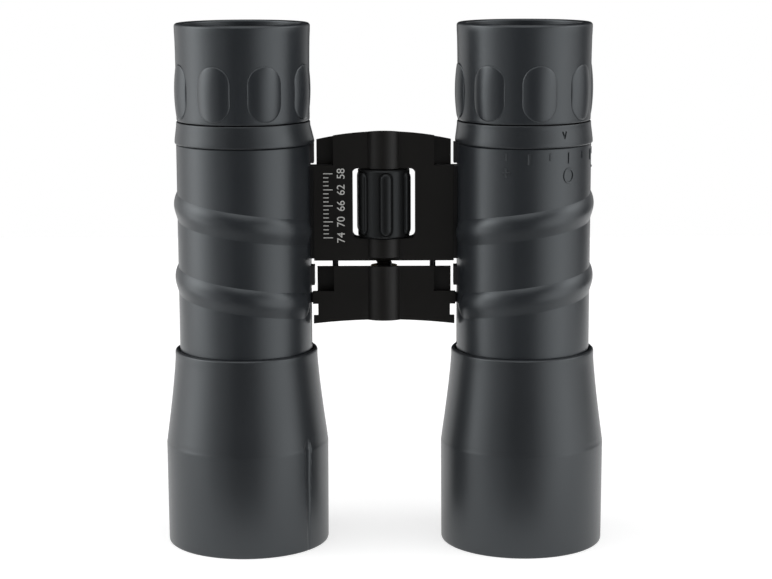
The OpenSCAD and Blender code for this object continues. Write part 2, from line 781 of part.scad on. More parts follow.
module pad_outline() {
    straight = pad_h - pad_w;
    translate([-pad_w / 2, -straight / 2]) square([pad_w, straight]);
    for (side = [-1, 1]) translate([0, side * straight / 2]) circle(pad_w / 2);
}

// One raised pad at the front: a crowned spindle cut to a rounded outline
module pad() {
    crown_r = 6.6;
    crown_long_r = 42;
    half_h = pad_h / 2 + 0.5;
    intersection() {
        translate([0, 0.4 - cup_r, pad_z]) rotate([90, 0, 0]) linear_extrude(3) pad_outline();
        translate([0, crown_r - cup_r - pad_proud, pad_z]) rotate_extrude() polygon(concat(
            [[0, -half_h]],
            [for (t = [-1:0.25:1]) [crown_r - t * t * half_h * half_h / (2 * crown_long_r), t * half_h]],
            [[0, half_h]]
        ));
    }
}

module eyecup(turn) {
    color(grip_grey) union() {
        cup_shell();
        for (i = [0:pads - 1]) rotate(turn + 360 * i / pads) pad();
    }
}

// ---------- prisms ----------

module prism_cage() {
    color(inner_black) difference() {
        translate([0, 0, cage_z]) cylinder(h = cage_top - cage_z, r = cage_r);
        translate([-chamber_w / 2, -prism_depth / 2 - seat_fit, prism_z - prism_half - seat_fit])
            cube([chamber_w, prism_depth + 2 * seat_fit, 2 * prism_half + 2 * seat_fit]);
        translate([0, 0, cage_z - cut]) cylinder(h = far, r = prism_half - 0.4);
    }
}

// The gap between the prisms is a plane at 45 degrees through the middle
module prism_lower() {
    lean = tan(22.5);
    reach = prism_half * 1.55;
    knee = -prism_half + (reach - prism_half) / lean;
    drop = prism_gap / sqrt(2);
    color(glass_tint) translate([0, prism_depth / 2, prism_z]) rotate([90, 0, 0]) linear_extrude(prism_depth)
        polygon([
            [-prism_half + drop, -prism_half], [prism_half, -prism_half],
            [reach, knee], [reach, reach * 0.55], [reach * 0.55 + drop, reach * 0.55]
        ]);
}

module prism_roof() {
    leg = 2.45 * prism_half;
    rise = prism_gap / sqrt(2);
    corner = [prism_half - rise, prism_half];
    far_end = corner - [leg, 0];
    low_end = corner - leg * [cos(45), sin(45)];
    color(glass_tint) translate([0, 0, prism_z]) intersection() {
        translate([0, prism_depth / 2, 0]) rotate([90, 0, 0]) linear_extrude(prism_depth)
            polygon([corner, far_end, low_end]);
        translate([far_end.x, 0, far_end.y]) rotate([0, -22.5, 0]) rotate([0, 0, 45])
            translate([0, 0, -far / 2]) linear_extrude(far) translate([0, -far]) square([far, far]);
    }
}

// ---------- lens carrier ----------

module carrier() {
    color(inner_black) difference() {
        rotate_extrude() polygon([
            [cell_r, cell_z], [cell_r, cell_top], [carrier_r, cone_z], [carrier_r, carrier_top],
            [carrier_r - carrier_wall, carrier_top], [carrier_r - carrier_wall, cone_z],
            [aperture_r + 0.2, cell_top - 0.2], [aperture_r, lens_seat_z + lens_shelf_h],
            [aperture_r, lens_seat_z], [lens_r + seat_fit, lens_seat_z], [lens_r + seat_fit, cell_z]
        ]);
        translate([-far, -arm_w / 2 - seat_fit, arm_z - seat_fit])
            cube([far, arm_w + 2 * seat_fit, arm_t + 2 * seat_fit]);
    }
}

module focus_arm() {
    color(inner_black) difference() {
        union() {
            translate([-hinge_arm, 0, arm_z]) cylinder(h = arm_t, r = eye_r - 0.05);
            translate([-hinge_arm, -arm_w / 2, arm_z])
                cube([hinge_arm - carrier_r + carrier_wall, arm_w, arm_t]);
        }
        translate([-hinge_arm, 0, arm_z - cut]) cylinder(h = arm_t + 2 * cut, r = rod_r + run_fit);
    }
}

module objective_crown() {
    color(glass_tint) lens(crown_z, crown_h, lens_r, crown_front_r, crown_back_r);
}

module objective_flint() {
    color(glass_tint) rotate_extrude() polygon(concat(
        [for (t = [0, 0.2, 0.4, 0.6, 0.8, 1]) [lens_r * t, crown_z + crown_h - sag(crown_back_r, lens_r * t)]],
        [[lens_r, lens_seat_z], [0, lens_seat_z]]
    ));
}

module objective_ring() {
    color(inner_black) difference() {
        tube(crown_z, sag(crown_front_r, aperture_r), lens_r, aperture_r);
        for (side = [-1, 1])
            translate([side * aperture_r - 0.8, -0.6, cell_z]) cube([1.6, 1.2, 0.7]);
    }
}

// ---------- the pieces of each side ----------

module left_barrel() { at_left() barrel(); }
module left_grip() { at_left() grip(); }
module left_hood() { at_left() hood(); }
module left_eyepiece_tube() { at_left() eyepiece_tube(false); }
module left_collar() { at_left() collar(); }
module left_prism_cage() { at_left() prism_cage(); }
module left_prism_lower() { at_left() prism_lower(); }
module left_prism_roof() { at_left() prism_roof(); }
module left_ocular_cell() { at_left() ocular_cell(false); }
module left_field_stop() { at_left() field_stop(); }
module left_field_lens() { at_left() field_lens(); }
module left_ocular_spacer() { at_left() ocular_spacer(); }
module left_eye_lens() { at_left() eye_lens(); }
module left_ocular_ring() { at_left() ocular_ring(); }
module left_carrier() { at_left() carrier(); }
module left_focus_arm() { at_left() focus_arm(); }
module left_objective_crown() { at_left() objective_crown(); }
module left_objective_flint() { at_left() objective_flint(); }
module left_objective_ring() { at_left() objective_ring(); }
module left_glide_ring() { at_left() glide_ring(); }
module left_eyecup_sleeve() { at_left() eyecup_sleeve(); }
module left_eyecup() { at_left() eyecup(left_cup_turn); }

module right_barrel() { at_right() barrel(); }
module right_grip() { at_right() grip(); }
module right_hood() { at_right() hood(); }
module right_eyepiece_tube() { at_right() eyepiece_tube(true); }
module dioptre_ring() { at_right() dioptre_ring_body(); }
module right_prism_cage() { at_right() prism_cage(); }
module right_prism_lower() { at_right() prism_lower(); }
module right_prism_roof() { at_right() prism_roof(); }
module right_ocular_cell() { at_right() ocular_cell(true); }
module dioptre_pin() { at_right() dioptre_pin_body(); }
module right_field_stop() { at_right() field_stop(); }
module right_field_lens() { at_right() field_lens(); }
module right_ocular_spacer() { at_right() ocular_spacer(); }
module right_eye_lens() { at_right() eye_lens(); }
module right_ocular_ring() { at_right() ocular_ring(); }
module right_carrier() { at_right() carrier(); }
module right_focus_arm() { at_right() focus_arm(); }
module right_objective_crown() { at_right() objective_crown(); }
module right_objective_flint() { at_right() objective_flint(); }
module right_objective_ring() { at_right() objective_ring(); }
module right_glide_ring() { at_right() glide_ring(); }
module right_eyecup_sleeve() { at_right() eyecup_sleeve(); }
module right_eyecup() { at_right() eyecup(right_cup_turn); }

upper_bridge();
left_hinge_rod();
right_hinge_rod();
shaft_bushing();
thrust_washers();
focus_wheel();
focus_screw();
wheel_pin();
focus_bridge();
focus_nut();
left_barrel();
left_grip();
left_hood();
left_eyepiece_tube();
left_collar();
left_prism_cage();
left_prism_lower();
left_prism_roof();
left_ocular_cell();
left_field_stop();
left_field_lens();
left_ocular_spacer();
left_eye_lens();
left_ocular_ring();
left_carrier();
left_focus_arm();
left_objective_crown();
left_objective_flint();
left_objective_ring();
left_glide_ring();
left_eyecup_sleeve();
left_eyecup();
right_barrel();
right_grip();
right_hood();
right_eyepiece_tube();
dioptre_ring();
right_prism_cage();
right_prism_lower();
right_prism_roof();
right_ocular_cell();
dioptre_pin();
right_field_stop();
right_field_lens();
right_ocular_spacer();
right_eye_lens();
right_ocular_ring();
right_carrier();
right_focus_arm();
right_objective_crown();
right_objective_flint();
right_objective_ring();
right_glide_ring();
right_eyecup_sleeve();
right_eyecup();
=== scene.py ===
"""Looks of a pair of compact double-hinge binoculars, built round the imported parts."""
import json
import math

import bmesh
import bpy
from bpy.props import FloatProperty, FloatVectorProperty, IntProperty, PointerProperty
from bpy.types import Operator, Panel, PropertyGroup
from mathutils import Matrix, Vector


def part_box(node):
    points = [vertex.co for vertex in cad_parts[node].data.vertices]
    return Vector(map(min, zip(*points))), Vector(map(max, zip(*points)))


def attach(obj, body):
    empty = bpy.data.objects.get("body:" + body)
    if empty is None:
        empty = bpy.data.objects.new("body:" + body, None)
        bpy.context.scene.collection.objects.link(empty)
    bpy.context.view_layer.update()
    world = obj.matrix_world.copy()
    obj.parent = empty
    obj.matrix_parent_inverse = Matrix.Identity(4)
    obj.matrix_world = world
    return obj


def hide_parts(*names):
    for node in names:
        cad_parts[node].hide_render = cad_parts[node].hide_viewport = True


bl_info = {
    "name": "Compact Binoculars",
    "version": (1, 0, 0),
    "blender": (4, 5, 0),
    "location": "3D View > Sidebar > Binoculars",
    "description": "Dresses the packed parts of a pair of compact binoculars",
    "category": "Object",
}

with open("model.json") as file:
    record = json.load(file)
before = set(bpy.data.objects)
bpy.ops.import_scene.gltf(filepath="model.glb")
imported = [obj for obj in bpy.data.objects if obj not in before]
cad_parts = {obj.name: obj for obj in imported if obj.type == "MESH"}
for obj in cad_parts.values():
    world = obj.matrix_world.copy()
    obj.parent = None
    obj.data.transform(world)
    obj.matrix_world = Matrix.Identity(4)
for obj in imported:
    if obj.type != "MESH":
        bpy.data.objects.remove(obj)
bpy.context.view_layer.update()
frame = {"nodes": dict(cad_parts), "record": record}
MM = 0.001
SIDES = {"left": -1, "right": 1}
CREASE = math.radians(32)
CORE = 0.002  # radius, in millimetres, at which a turned outline ends on its axis


# ---------- what a user may change ----------

def length(name, description, millimetres):
    """A length property. Its default is given in millimetres and kept in metres."""
    return FloatProperty(name=name, description=description, default=millimetres * MM, min=0, unit="LENGTH",
                         precision=5)


def coordinate(name, description, metres):
    """A coordinate property, in metres."""
    return FloatProperty(name=name, description=description, default=metres, unit="LENGTH", precision=5)


def angle(name, description, degrees):
    """An angle property, given in degrees and kept in radians."""
    return FloatProperty(name=name, description=description, default=math.radians(degrees), subtype="ANGLE")


def tint(name, description, red, green, blue):
    """A colour property."""
    return FloatVectorProperty(name=name, description=description, default=(red, green, blue), min=0, max=1,
                               subtype="COLOR")


class BINOCULARS_PG_sizes(PropertyGroup):
    """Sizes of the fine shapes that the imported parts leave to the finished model."""

    grip_radius: length("Grip radius", "Radius of the barrel armour between its ridges", 16.32)
    ridge_width: length("Ridge width", "Width of a spiral ridge where it leaves the armour", 7.1)
    ridge_height: length("Ridge height", "Height of a spiral ridge's crest", 0.8)
    ridge_lead: length("Ridge lead", "Rise of a spiral ridge in one turn", 14.7)
    ridge_pitch: length("Ridge pitch", "Distance between the two ridges of a barrel", 17.85)
    ridge_level: length("Ridge level", "Height of the upper ridge's crest at the front", 80.05)
    cup_radius: length("Cup radius", "Radius of an eyecup's waist", 16.16)
    pad_width: length("Pad width", "Width of an eyecup's raised pad", 8.4)
    pad_length: length("Pad length", "Length of an eyecup's raised pad", 13.2)
    pad_rise: length("Pad rise", "Height of a pad's middle above the eyecup's waist", 0.78)
    pad_count: IntProperty(name="Pads", description="Raised pads round an eyecup", default=8, min=3)
    left_cup_turn: angle("Left cup turn", "Turn of the left eyecup's pads", 22.2)
    right_cup_turn: angle("Right cup turn", "Turn of the right eyecup's pads", 10.2)
    wheel_radius: length("Wheel radius", "Radius of the focusing wheel between its beads", 6.3)
    bead_width: length("Bead width", "Width of a grip bead on the focusing wheel", 3.0)
    bead_rise: length("Bead rise", "Height of a bead above the focusing wheel", 0.7)
    bead_count: IntProperty(name="Beads", description="Grip beads round the focusing wheel", default=6, min=3)
    flute_width: length("Flute width", "Width of the upright groove in a lens hood", 2.6)
    flute_depth: length("Flute depth", "Depth of the upright groove in a lens hood", 0.42)
    thread_pitch: length("Thread pitch", "Distance between the focusing screw's turns", 0.75)
    edge_ease: length("Edge ease", "Width of the softened edges of the bridges", 0.22)
    mark_width: length("Mark width", "Width of the moulded dioptre marks", 0.5)
    mark_rise: length("Mark rise", "Height of the moulded dioptre marks", 0.23)


class BINOCULARS_PG_colours(PropertyGroup):
    """Colours of the finishes."""

    armour: tint("Armour", "Rubber of the grips and eyecups", 0.0155, 0.0175, 0.0205)
    hood: tint("Hoods", "Rubber of the lens hoods", 0.0155, 0.0170, 0.0195)
    ring: tint("Rings", "Collar and dioptre ring", 0.0150, 0.0165, 0.0190)
    enamel: tint("Enamel", "Painted bridges", 0.0052, 0.0046, 0.0040)
    wheel: tint("Wheel", "Rubber of the focusing wheel", 0.0058, 0.0058, 0.0059)
    tube: tint("Tubes", "Anodised tubes and lens cells", 0.014, 0.014, 0.015)
    lining: tint("Lining", "Matte black linings", 0.010, 0.010, 0.0105)
    blued_steel: tint("Blued steel", "Hinge rods and focusing screw", 0.035, 0.035, 0.037)
    brass: tint("Brass", "Nut and bushing", 0.62, 0.46, 0.20)
    coating: tint("Coating", "Tint of the coated glass", 0.50, 0.74, 0.66)
    print_white: tint("Print", "Printed scale on the bridge", 0.62, 0.62, 0.60)


class BINOCULARS_PG_studio(PropertyGroup):
    """Camera, floor and light."""

    camera_x: coordinate("Camera X", "Sideways place of the camera", 0.00258)
    camera_y: coordinate("Camera Y", "Distance of the camera, towards the viewer", -0.51596)
    camera_z: coordinate("Camera Z", "Height of the camera", 0.15354)
    pitch: angle("Pitch", "Angle at which the camera looks down", 9.98)
    yaw: angle("Yaw", "Turn of the camera towards the right", -0.235)
    roll: angle("Roll", "Tilt of the camera", 0.19)
    lens: FloatProperty(name="Lens", description="Focal length on a 36 mm sensor", default=99.43, unit="CAMERA")
    wall_level: FloatProperty(name="Wall level", description="Brightness of the studio wall's brightest part",
                              default=5.0, min=0)


# ---------- shader helpers ----------

class Wire:
    """A value in a node tree. Arithmetic on it adds the Math nodes that it needs."""

    def __init__(self, tree, socket):
        self.tree = tree
        self.socket = socket

    def math(self, operation, first, second):
        return Shading(self.tree).add("ShaderNodeMath", {"operation": operation}, {0: first, 1: second})

    def __add__(self, other):
        return self.math("ADD", self, other)

    __radd__ = __add__

    def __sub__(self, other):
        return self.math("SUBTRACT", self, other)

    def __rsub__(self, other):
        return self.math("SUBTRACT", other, self)

    def __mul__(self, other):
        return self.math("MULTIPLY", self, other)

    __rmul__ = __mul__

    def __or__(self, other):
        """The greater of the two."""
        return self.math("MAXIMUM", self, other)


def join(tree, place, value):
    """Puts a value or a wire into a socket."""
    if isinstance(value, Wire):
        tree.links.new(value.socket, place)
    else:
        place.default_value = value


def set_stops(ramp, stops):
    """Gives a grey ramp its (position, brightness) stops: all places first, because they set the stops' order."""
    while len(ramp.elements) < len(stops):
        ramp.elements.new(0.5)
    for element, (position, _) in zip(ramp.elements, stops):
        element.position = position
    for element, (_, brightness) in zip(ramp.elements, stops):
        element.color = (brightness, brightness, brightness, 1)


class Shading:
    """A node tree that nodes are added to: a material's or the world's."""

    def __init__(self, tree):
        self.tree = tree

    def add(self, kind, settings=None, sockets=None, output=0):
        """Adds a node: first its settings, among them a ramp's stops, then its socket values or links."""
        node = self.tree.nodes.new(kind)
        for key, value in (settings or {}).items():
            if key == "stops":
                set_stops(node.color_ramp, value)
            else:
                setattr(node, key, value)
        for key, value in (sockets or {}).items():
            join(self.tree, node.inputs[key], value)
        return Wire(self.tree, node.outputs[output])

    def met_by(self, first, *others):
        """1 where a ray of one of the kinds arrives, and 0 for all other light."""
        answer = self.add("ShaderNodeLightPath", output=f"Is {first} Ray")
        for kind in others:
            answer = answer | self.add("ShaderNodeLightPath", output=f"Is {kind} Ray")
        return answer


class Finish(Shading):
    """One material of the object, with its Principled shader."""

    def __init__(self, name):
        self.material = bpy.data.materials.new(name)
        self.material.use_nodes = True
        super().__init__(self.material.node_tree)
        self.shader = self.tree.nodes["Principled BSDF"]
        self.place = self.add("ShaderNodeTexCoord", output="Object")

    def set(self, **values):
        """Sets sockets of the shader, named with _ in place of a space."""
        for key, value in values.items():
            join(self.tree, self.shader.inputs[key.replace("_", " ")], value)

    def noise(self, size, detail=2.0, roughness=0.55, stretch=(1, 1, 1)):
        """A noise with features of about the given size in millimetres."""
        where = self.add("ShaderNodeMapping", sockets={"Vector": self.place, "Scale": stretch})
        return self.add("ShaderNodeTexNoise", sockets={
            "Vector": where, "Scale": 1 / (size * MM), "Detail": detail, "Roughness": roughness})

    def vary(self, colour, other, amount):
        """Colour that goes towards another where amount goes to 1."""
        return self.add("ShaderNodeMix", {"data_type": "RGBA"}, {0: amount, 6: opaque(colour), 7: opaque(other)}, 2)

    def bump(self, height, depth, strength=1.0):
        """Surface relief: height from 0 to 1, over a depth in millimetres."""
        normal = self.add("ShaderNodeBump", sockets={"Height": height, "Distance": depth * MM, "Strength": strength})
        self.set(Normal=normal)


def opaque(colour):
    return (*colour[:3], 1.0)


def shade(colour, share):
    """The colour with its brightness changed by a share."""
    return tuple(min(1.0, part * share) for part in colour[:3])


def moulded_rubber(name, colour, gloss, index=1.62):
    """Satin armour: a fine mould texture, faint clouding and slightly uneven sheen."""
    finish = Finish(name)
    cloud = finish.noise(14, detail=4)
    grain = finish.noise(0.16, detail=3, roughness=0.7)
    fleck = finish.noise(0.55, detail=2)
    finish.set(
        Base_Color=finish.vary(shade(colour, 0.86), shade(colour, 1.16), cloud * 0.6 + grain * 0.4),
        Roughness=cloud * 0.08 + fleck * 0.07 + (gloss - 0.075),
        IOR=index,
        Specular_Tint=(0.90, 0.965, 1.0, 1.0),
    )
    finish.bump(grain * 0.7 + fleck * 0.3, 0.022, 0.55)
    return finish.material


def satin_enamel(name, colour):
    """Sprayed enamel: a slight orange peel over a fine powder grain."""
    finish = Finish(name)
    peel = finish.noise(0.9, detail=2)
    grain = finish.noise(0.2, detail=3, roughness=0.7)
    cloud = finish.noise(9, detail=3)
    finish.set(
        Base_Color=finish.vary(shade(colour, 0.85), shade(colour, 1.2), cloud * 0.5 + grain * 0.5),
        Roughness=peel * 0.08 + cloud * 0.06 + 0.36,
        IOR=1.40,
    )
    finish.bump(peel * 0.5 + grain * 0.5, 0.02, 0.5)
    return finish.material


def matte_lining(name, colour):
    """Flat black lining with the fine turned grooves that stop stray light."""
    finish = Finish(name)
    groove = finish.add("ShaderNodeTexWave", {"bands_direction": "Z"}, {
        "Vector": finish.place, "Scale": 0.32 / MM, "Distortion": 0.15})
    dust = finish.noise(0.4, detail=3)
    finish.set(
        Base_Color=finish.vary(shade(colour, 0.8), shade(colour, 1.5), dust),
        Roughness=dust * 0.15 + 0.62,
    )
    finish.bump(groove * 0.8 + dust * 0.2, 0.05, 0.6)
    return finish.material


def anodised_alloy(name, colour):
    """Black anodised tube with fine turning marks."""
    finish = Finish(name)
    turning = finish.noise(0.5, detail=3, stretch=(0.03, 0.03, 6))
    dust = finish.noise(0.3, detail=2)
    finish.set(
        Base_Color=finish.vary(shade(colour, 0.8), shade(colour, 1.4), turning * 0.6 + dust * 0.4),
        Roughness=turning * 0.14 + 0.34,
        Specular_IOR_Level=0.6,
    )
    finish.bump(turning, 0.01, 0.5)
    return finish.material


def bright_metal(name, colour, gloss, along):
    """Bare or blued metal with fine marks left by its tool."""
    finish = Finish(name)
    marks = finish.noise(0.4, detail=4, stretch=along)
    stain = finish.noise(3, detail=3)
    finish.set(
        Base_Color=finish.vary(shade(colour, 0.8), shade(colour, 1.15), stain * 0.5 + marks * 0.5),
        Metallic=1.0,
        Roughness=marks * 0.16 + stain * 0.06 + gloss,
    )
    finish.bump(marks, 0.006, 0.5)
    return finish.material


def coated_glass(name, colour):
    """Optical glass: clear, with a faint coloured coating that shows in its reflections."""
    finish = Finish(name)
    film = finish.noise(6, detail=2)
    finish.set(
        Base_Color=finish.vary(shade(colour, 1.25), shade(colour, 1.05), film),
        Roughness=film * 0.01 + 0.01,
        IOR=1.52,
        Transmission_Weight=1.0,
        Specular_Tint=(*shade(colour, 1.3), 1.0),
        Coat_Weight=0.25,
        Coat_Roughness=0.03,
        Coat_Tint=(0.62, 0.86, 0.74, 1.0),
    )
    return finish.material


def flat_ink(name, colour):
    """Pad-printed ink, a little broken where the paint's grain shows through."""
    finish = Finish(name)
    wear = finish.noise(0.25, detail=3)
    finish.set(
        Base_Color=finish.vary(shade(colour, 0.82), colour, wear),
        Roughness=wear * 0.1 + 0.45,
    )
    finish.bump(wear, 0.01, 0.4)
    return finish.material


SLOT_OF = {part["node"]: part["material_slot"] for part in frame["record"]["subparts"]}
FINISHES = {}


def finishes():
    """The material of each slot, made once from the colours."""
    if FINISHES:
        return FINISHES
    colours = bpy.context.scene.binocular_colours
    FINISHES.update({
        "bridge_black": satin_enamel("satin_enamel", colours.enamel),
        "barrel_black": anodised_alloy("barrel_alloy", colours.tube),
        "grip_rubber": moulded_rubber("armour_rubber", colours.armour, 0.33),
        "hood_rubber": moulded_rubber("hood_rubber", colours.hood, 0.35),
        "eyecup_rubber": moulded_rubber("eyecup_rubber", colours.armour, 0.33),
        "ring_plastic": moulded_rubber("ring_plastic", colours.ring, 0.34),
        "wheel_rubber": moulded_rubber("wheel_rubber", colours.wheel, 0.38, 1.38),
        "inner_plastic": matte_lining("matte_lining", colours.lining),
        "lens_barrel": anodised_alloy("lens_cell_alloy", colours.tube),
        "steel": bright_metal("blued_steel", colours.blued_steel, 0.3, (1, 1, 0.12)),
        "brass": bright_metal("turned_brass", colours.brass, 0.22, (0.1, 0.1, 4)),
        "coated_glass": coated_glass("coated_glass", colours.coating),
        "printed_scale": flat_ink("printed_scale", colours.print_white),
    })
    return FINISHES


# ---------- shape helpers, in millimetres ----------

def setting(name):
    """A count or an angle from the sizes."""
    return getattr(bpy.context.scene.binocular_sizes, name)


def size(name):
    """A length from the sizes, in millimetres."""
    return setting(name) / MM


def node_box(node):
    """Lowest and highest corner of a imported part, in millimetres."""
    low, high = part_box(node)
    return low / MM, high / MM


def axis_of(node):
    """Sideways place of the upright axis of a round part."""
    low, high = node_box(node)
    return (low.x + high.x) / 2


def barrel_axis(side):
    return axis_of(f"{side}_hood")


def of_side(side, *names):
    """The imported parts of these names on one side."""
    return [f"{side}_{name}" for name in names]


def spread(start, end, count):
    """count + 1 values evenly from start to end."""
    return [start + (end - start) * step / count for step in range(count + 1)]


def full_turn(count):
    """count turns evenly round an axis."""
    return [math.tau * step / count for step in range(count)]


def share_between(value, low, high):
    """0 up to low, 1 from high on, and evenly between."""
    return min(1.0, max(0.0, (value - low) / (high - low)))


def eased(corners):
    """A closed outline from (x, y, ease) corners, each drawn as a short curve where ease is over 0."""
    outline = []
    for place, (x, y, ease) in enumerate(corners):
        corner = Vector((x, y))
        if not ease:
            outline.append(corner)
            continue
        before = Vector(corners[place - 1][:2])
        after = Vector(corners[(place + 1) % len(corners)][:2])
        start = corner + (before - corner).normalized() * ease
        end = corner + (after - corner).normalized() * ease
        for t in spread(0, 1, 4):
            outline.append(start * (1 - t) ** 2 + corner * 2 * t * (1 - t) + end * t * t)
    return outline


def on_cylinder(turn, radius, height, centre_x=0.0):
    """A point round an upright axis. turn is 0 at the front and grows towards the right."""
    return Vector((centre_x + radius * math.sin(turn), -radius * math.cos(turn), height))


def stitch(bm, rings, closed=False, ends="open"):
    """Faces between rings of vertices that are closed loops themselves."""
    pairs = list(zip(rings, rings[1:])) + ([(rings[-1], rings[0])] if closed else [])
    for low, high in pairs:
        count = len(low)
        for step in range(count):
            nxt = (step + 1) % count
            bm.faces.new((low[step], low[nxt], high[nxt], high[step]))
    if ends == "capped":
        bm.faces.new(rings[0])
        bm.faces.new(rings[-1])


def lathe(bm, outline, centre_x=0.0, turns=None, push=None):
    """Turns a closed outline of (radius, height) round an upright axis."""
    turns = turns or full_turn(144)
    rings = []
    for radius, height in outline:
        ring = []
        for turn in turns:
            grown = radius + (push(turn, radius, height) if push else 0)
            ring.append(bm.verts.new(on_cylinder(turn, grown, height, centre_x)))
        rings.append(ring)
    stitch(bm, rings, closed=True)


def place_object(name, data):
    """An object in the scene."""
    placed = bpy.data.objects.new(name, data)
    bpy.context.scene.collection.objects.link(placed)
    return placed


def mirror_left(bm, side):
    """Turns a right-hand shape into a left-hand one."""
    if side == "left":
        bmesh.ops.scale(bm, vec=(-1, 1, 1), verts=bm.verts)


def add_piece(name, bm, body, slot_name, replaced=(), finish=None):
    """Makes a finished piece from a shape in millimetres."""
    bmesh.ops.recalc_face_normals(bm, faces=bm.faces)
    bmesh.ops.scale(bm, vec=(MM, MM, MM), verts=bm.verts)
    mesh = bpy.data.meshes.new(name)
    bm.to_mesh(mesh)
    bm.free()
    mesh.shade_smooth()
    mesh.set_sharp_from_angle(angle=CREASE)
    mesh.materials.append(finish or finishes()[slot_name])
    piece = place_object(name, mesh)
    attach(piece, body)
    if replaced:
        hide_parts(*replaced)
    return piece


def dress(*nodes):
    """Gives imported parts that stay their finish."""
    for node in nodes:
        part = frame["nodes"][node]
        finish = finishes()[SLOT_OF[node]]
        if not part.material_slots:
            part.data.materials.append(finish)
        for place in part.material_slots:
            place.material = finish


def eased_copy(node, body, name, ease):
    """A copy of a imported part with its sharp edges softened, shown in its place."""
    bm = bmesh.new()
    bm.from_mesh(frame["nodes"][node].data)
    bmesh.ops.scale(bm, vec=(1 / MM, 1 / MM, 1 / MM), verts=bm.verts)
    bmesh.ops.remove_doubles(bm, verts=bm.verts, dist=0.002)
    bmesh.ops.dissolve_limit(bm, angle_limit=math.radians(0.6), verts=bm.verts, edges=bm.edges)
    piece = add_piece(name, bm, body, SLOT_OF[node], (node,))
    bevel = piece.modifiers.new("eased_edges", "BEVEL")
    bevel.width = ease * MM
    bevel.segments = 3
    bevel.limit_method = "ANGLE"
    bevel.angle_limit = CREASE
    bevel.harden_normals = True
    return piece


# ---------- barrels ----------

BARREL_EASE = 0.15
RIDGE_SINK = 0.12
RIDGE_ROOT = 0.45
RIDGE_CREST = 0.2
RIDGE_END_TURN = math.radians(13)
RIDGE_START_TURNS = (math.radians(-82), math.radians(-74))
RIDGE_LAST_TURN = math.radians(245)
GRIP_WALL = 0.74
GRIP_SLOT_HALF = 2.3


def ridge_form(v):
    """Height of a ridge's section, as a share, from its lower foot at -1 to its steeper upper one at 1."""
    if v > RIDGE_CREST:
        return 1 - ((v - RIDGE_CREST) / (1 - RIDGE_CREST)) ** 2
    return 0.5 + 0.5 * math.cos(math.pi * (RIDGE_CREST - v) / (1 + RIDGE_CREST))


def add_ridge(bm, crest, start, end, axis_x):
    """A spiral ridge with rounded ends, round the right-hand barrel."""
    radius = size("grip_radius")
    rise = size("ridge_height") + RIDGE_SINK
    lead = size("ridge_lead")
    half = size("ridge_width") / 2 * 1.08
    rings = []
    for turn in spread(start, end, 150):
        from_end = min(turn - start, end - turn) / RIDGE_END_TURN
        scale = 1.0 if from_end >= 1 else max(0.05, math.sqrt(1 - (1 - from_end) ** 2))
        level = crest + lead * turn / math.tau
        section = [(radius - RIDGE_SINK + rise * scale * ridge_form(v), level + v * half * scale)
                   for v in spread(-1, 1, 20)]
        section += [(radius - RIDGE_ROOT, level + half * scale), (radius - RIDGE_ROOT, level - half * scale)]
        rings.append([bm.verts.new(on_cylinder(turn, r, z, axis_x)) for r, z in section])
    stitch(bm, rings, ends="capped")


def add_sleeve(bm, low, high, outer, inner, slot_foot, slot_half, axis_x):
    """The armour's tube, open along a strip that faces the bridge above slot_foot."""
    edge = math.asin(slot_half / outer)
    bridge_side = -math.pi / 2
    steps_round = 188
    turns = spread(bridge_side + edge, bridge_side + math.tau - edge, steps_round)
    turns += spread(bridge_side - edge, bridge_side + edge, 6)[1:-1]
    strip = range(steps_round, len(turns))
    levels = [low, slot_foot, *spread(slot_foot, high - 0.25, 40)[1:], high]
    grid = []
    for level in levels:
        ease = 0.18 if level in (low, high) else 0.0
        grid.append([[bm.verts.new(on_cylinder(turn, radius, level, axis_x)) for turn in turns]
                     for radius in (outer - ease, inner)])
    count = len(turns)

    def kept(row, step):
        return row == 0 or step not in strip

    for row in range(len(levels) - 1):
        for step in range(count):
            if not kept(row, step):
                continue
            nxt = (step + 1) % count
            for wall in (0, 1):
                bm.faces.new((grid[row][wall][step], grid[row][wall][nxt],
                              grid[row + 1][wall][nxt], grid[row + 1][wall][step]))
            top_open = row + 1 == len(levels) - 1 or not kept(row + 1, step)
            if row == 0:
                bm.faces.new((grid[0][0][step], grid[0][0][nxt], grid[0][1][nxt], grid[0][1][step]))
            if top_open:
                bm.faces.new((grid[row + 1][0][step], grid[row + 1][0][nxt],
                              grid[row + 1][1][nxt], grid[row + 1][1][step]))
            if not kept(row, (step - 1) % count):
                bm.faces.new((grid[row][0][step], grid[row][1][step],
                              grid[row + 1][1][step], grid[row + 1][0][step]))
            if not kept(row, nxt):
                bm.faces.new((grid[row][0][nxt], grid[row][1][nxt],
                              grid[row + 1][1][nxt], grid[row + 1][0][nxt]))


def make_grip(side):
    """Rubber armour of a barrel: a sleeve with two spiral ridges."""
    low, high = node_box("right_grip")
    outer = size("grip_radius")
    axis_x = barrel_axis("right")
    bm = bmesh.new()
    slot_foot = node_box("right_hood")[1].z + 0.9
    add_sleeve(bm, low.z, high.z, outer, outer - GRIP_WALL, slot_foot, GRIP_SLOT_HALF, axis_x)
    for number, start in enumerate(RIDGE_START_TURNS):
        add_ridge(bm, size("ridge_level") - number * size("ridge_pitch"), start, RIDGE_LAST_TURN, axis_x)
    mirror_left(bm, side)
    add_piece(f"{side}_grip_armour", bm, f"{side}_barrel", "grip_rubber", (f"{side}_grip",))


HOOD_SHOULDER = 26.4
HOOD_NECK = 17.5
HOOD_LIP = 0.6
HOOD_WALL = 1.75
HOOD_INSIDE = 19.2
SEAT_RADIUS = 15.38
FLUTE_TURNS = {"left": math.radians(-51), "right": math.radians(150)}
FLUTE_FOOT = 1.5
FLUTE_TOP = 27.4
FLUTE_ARCH = 1.6


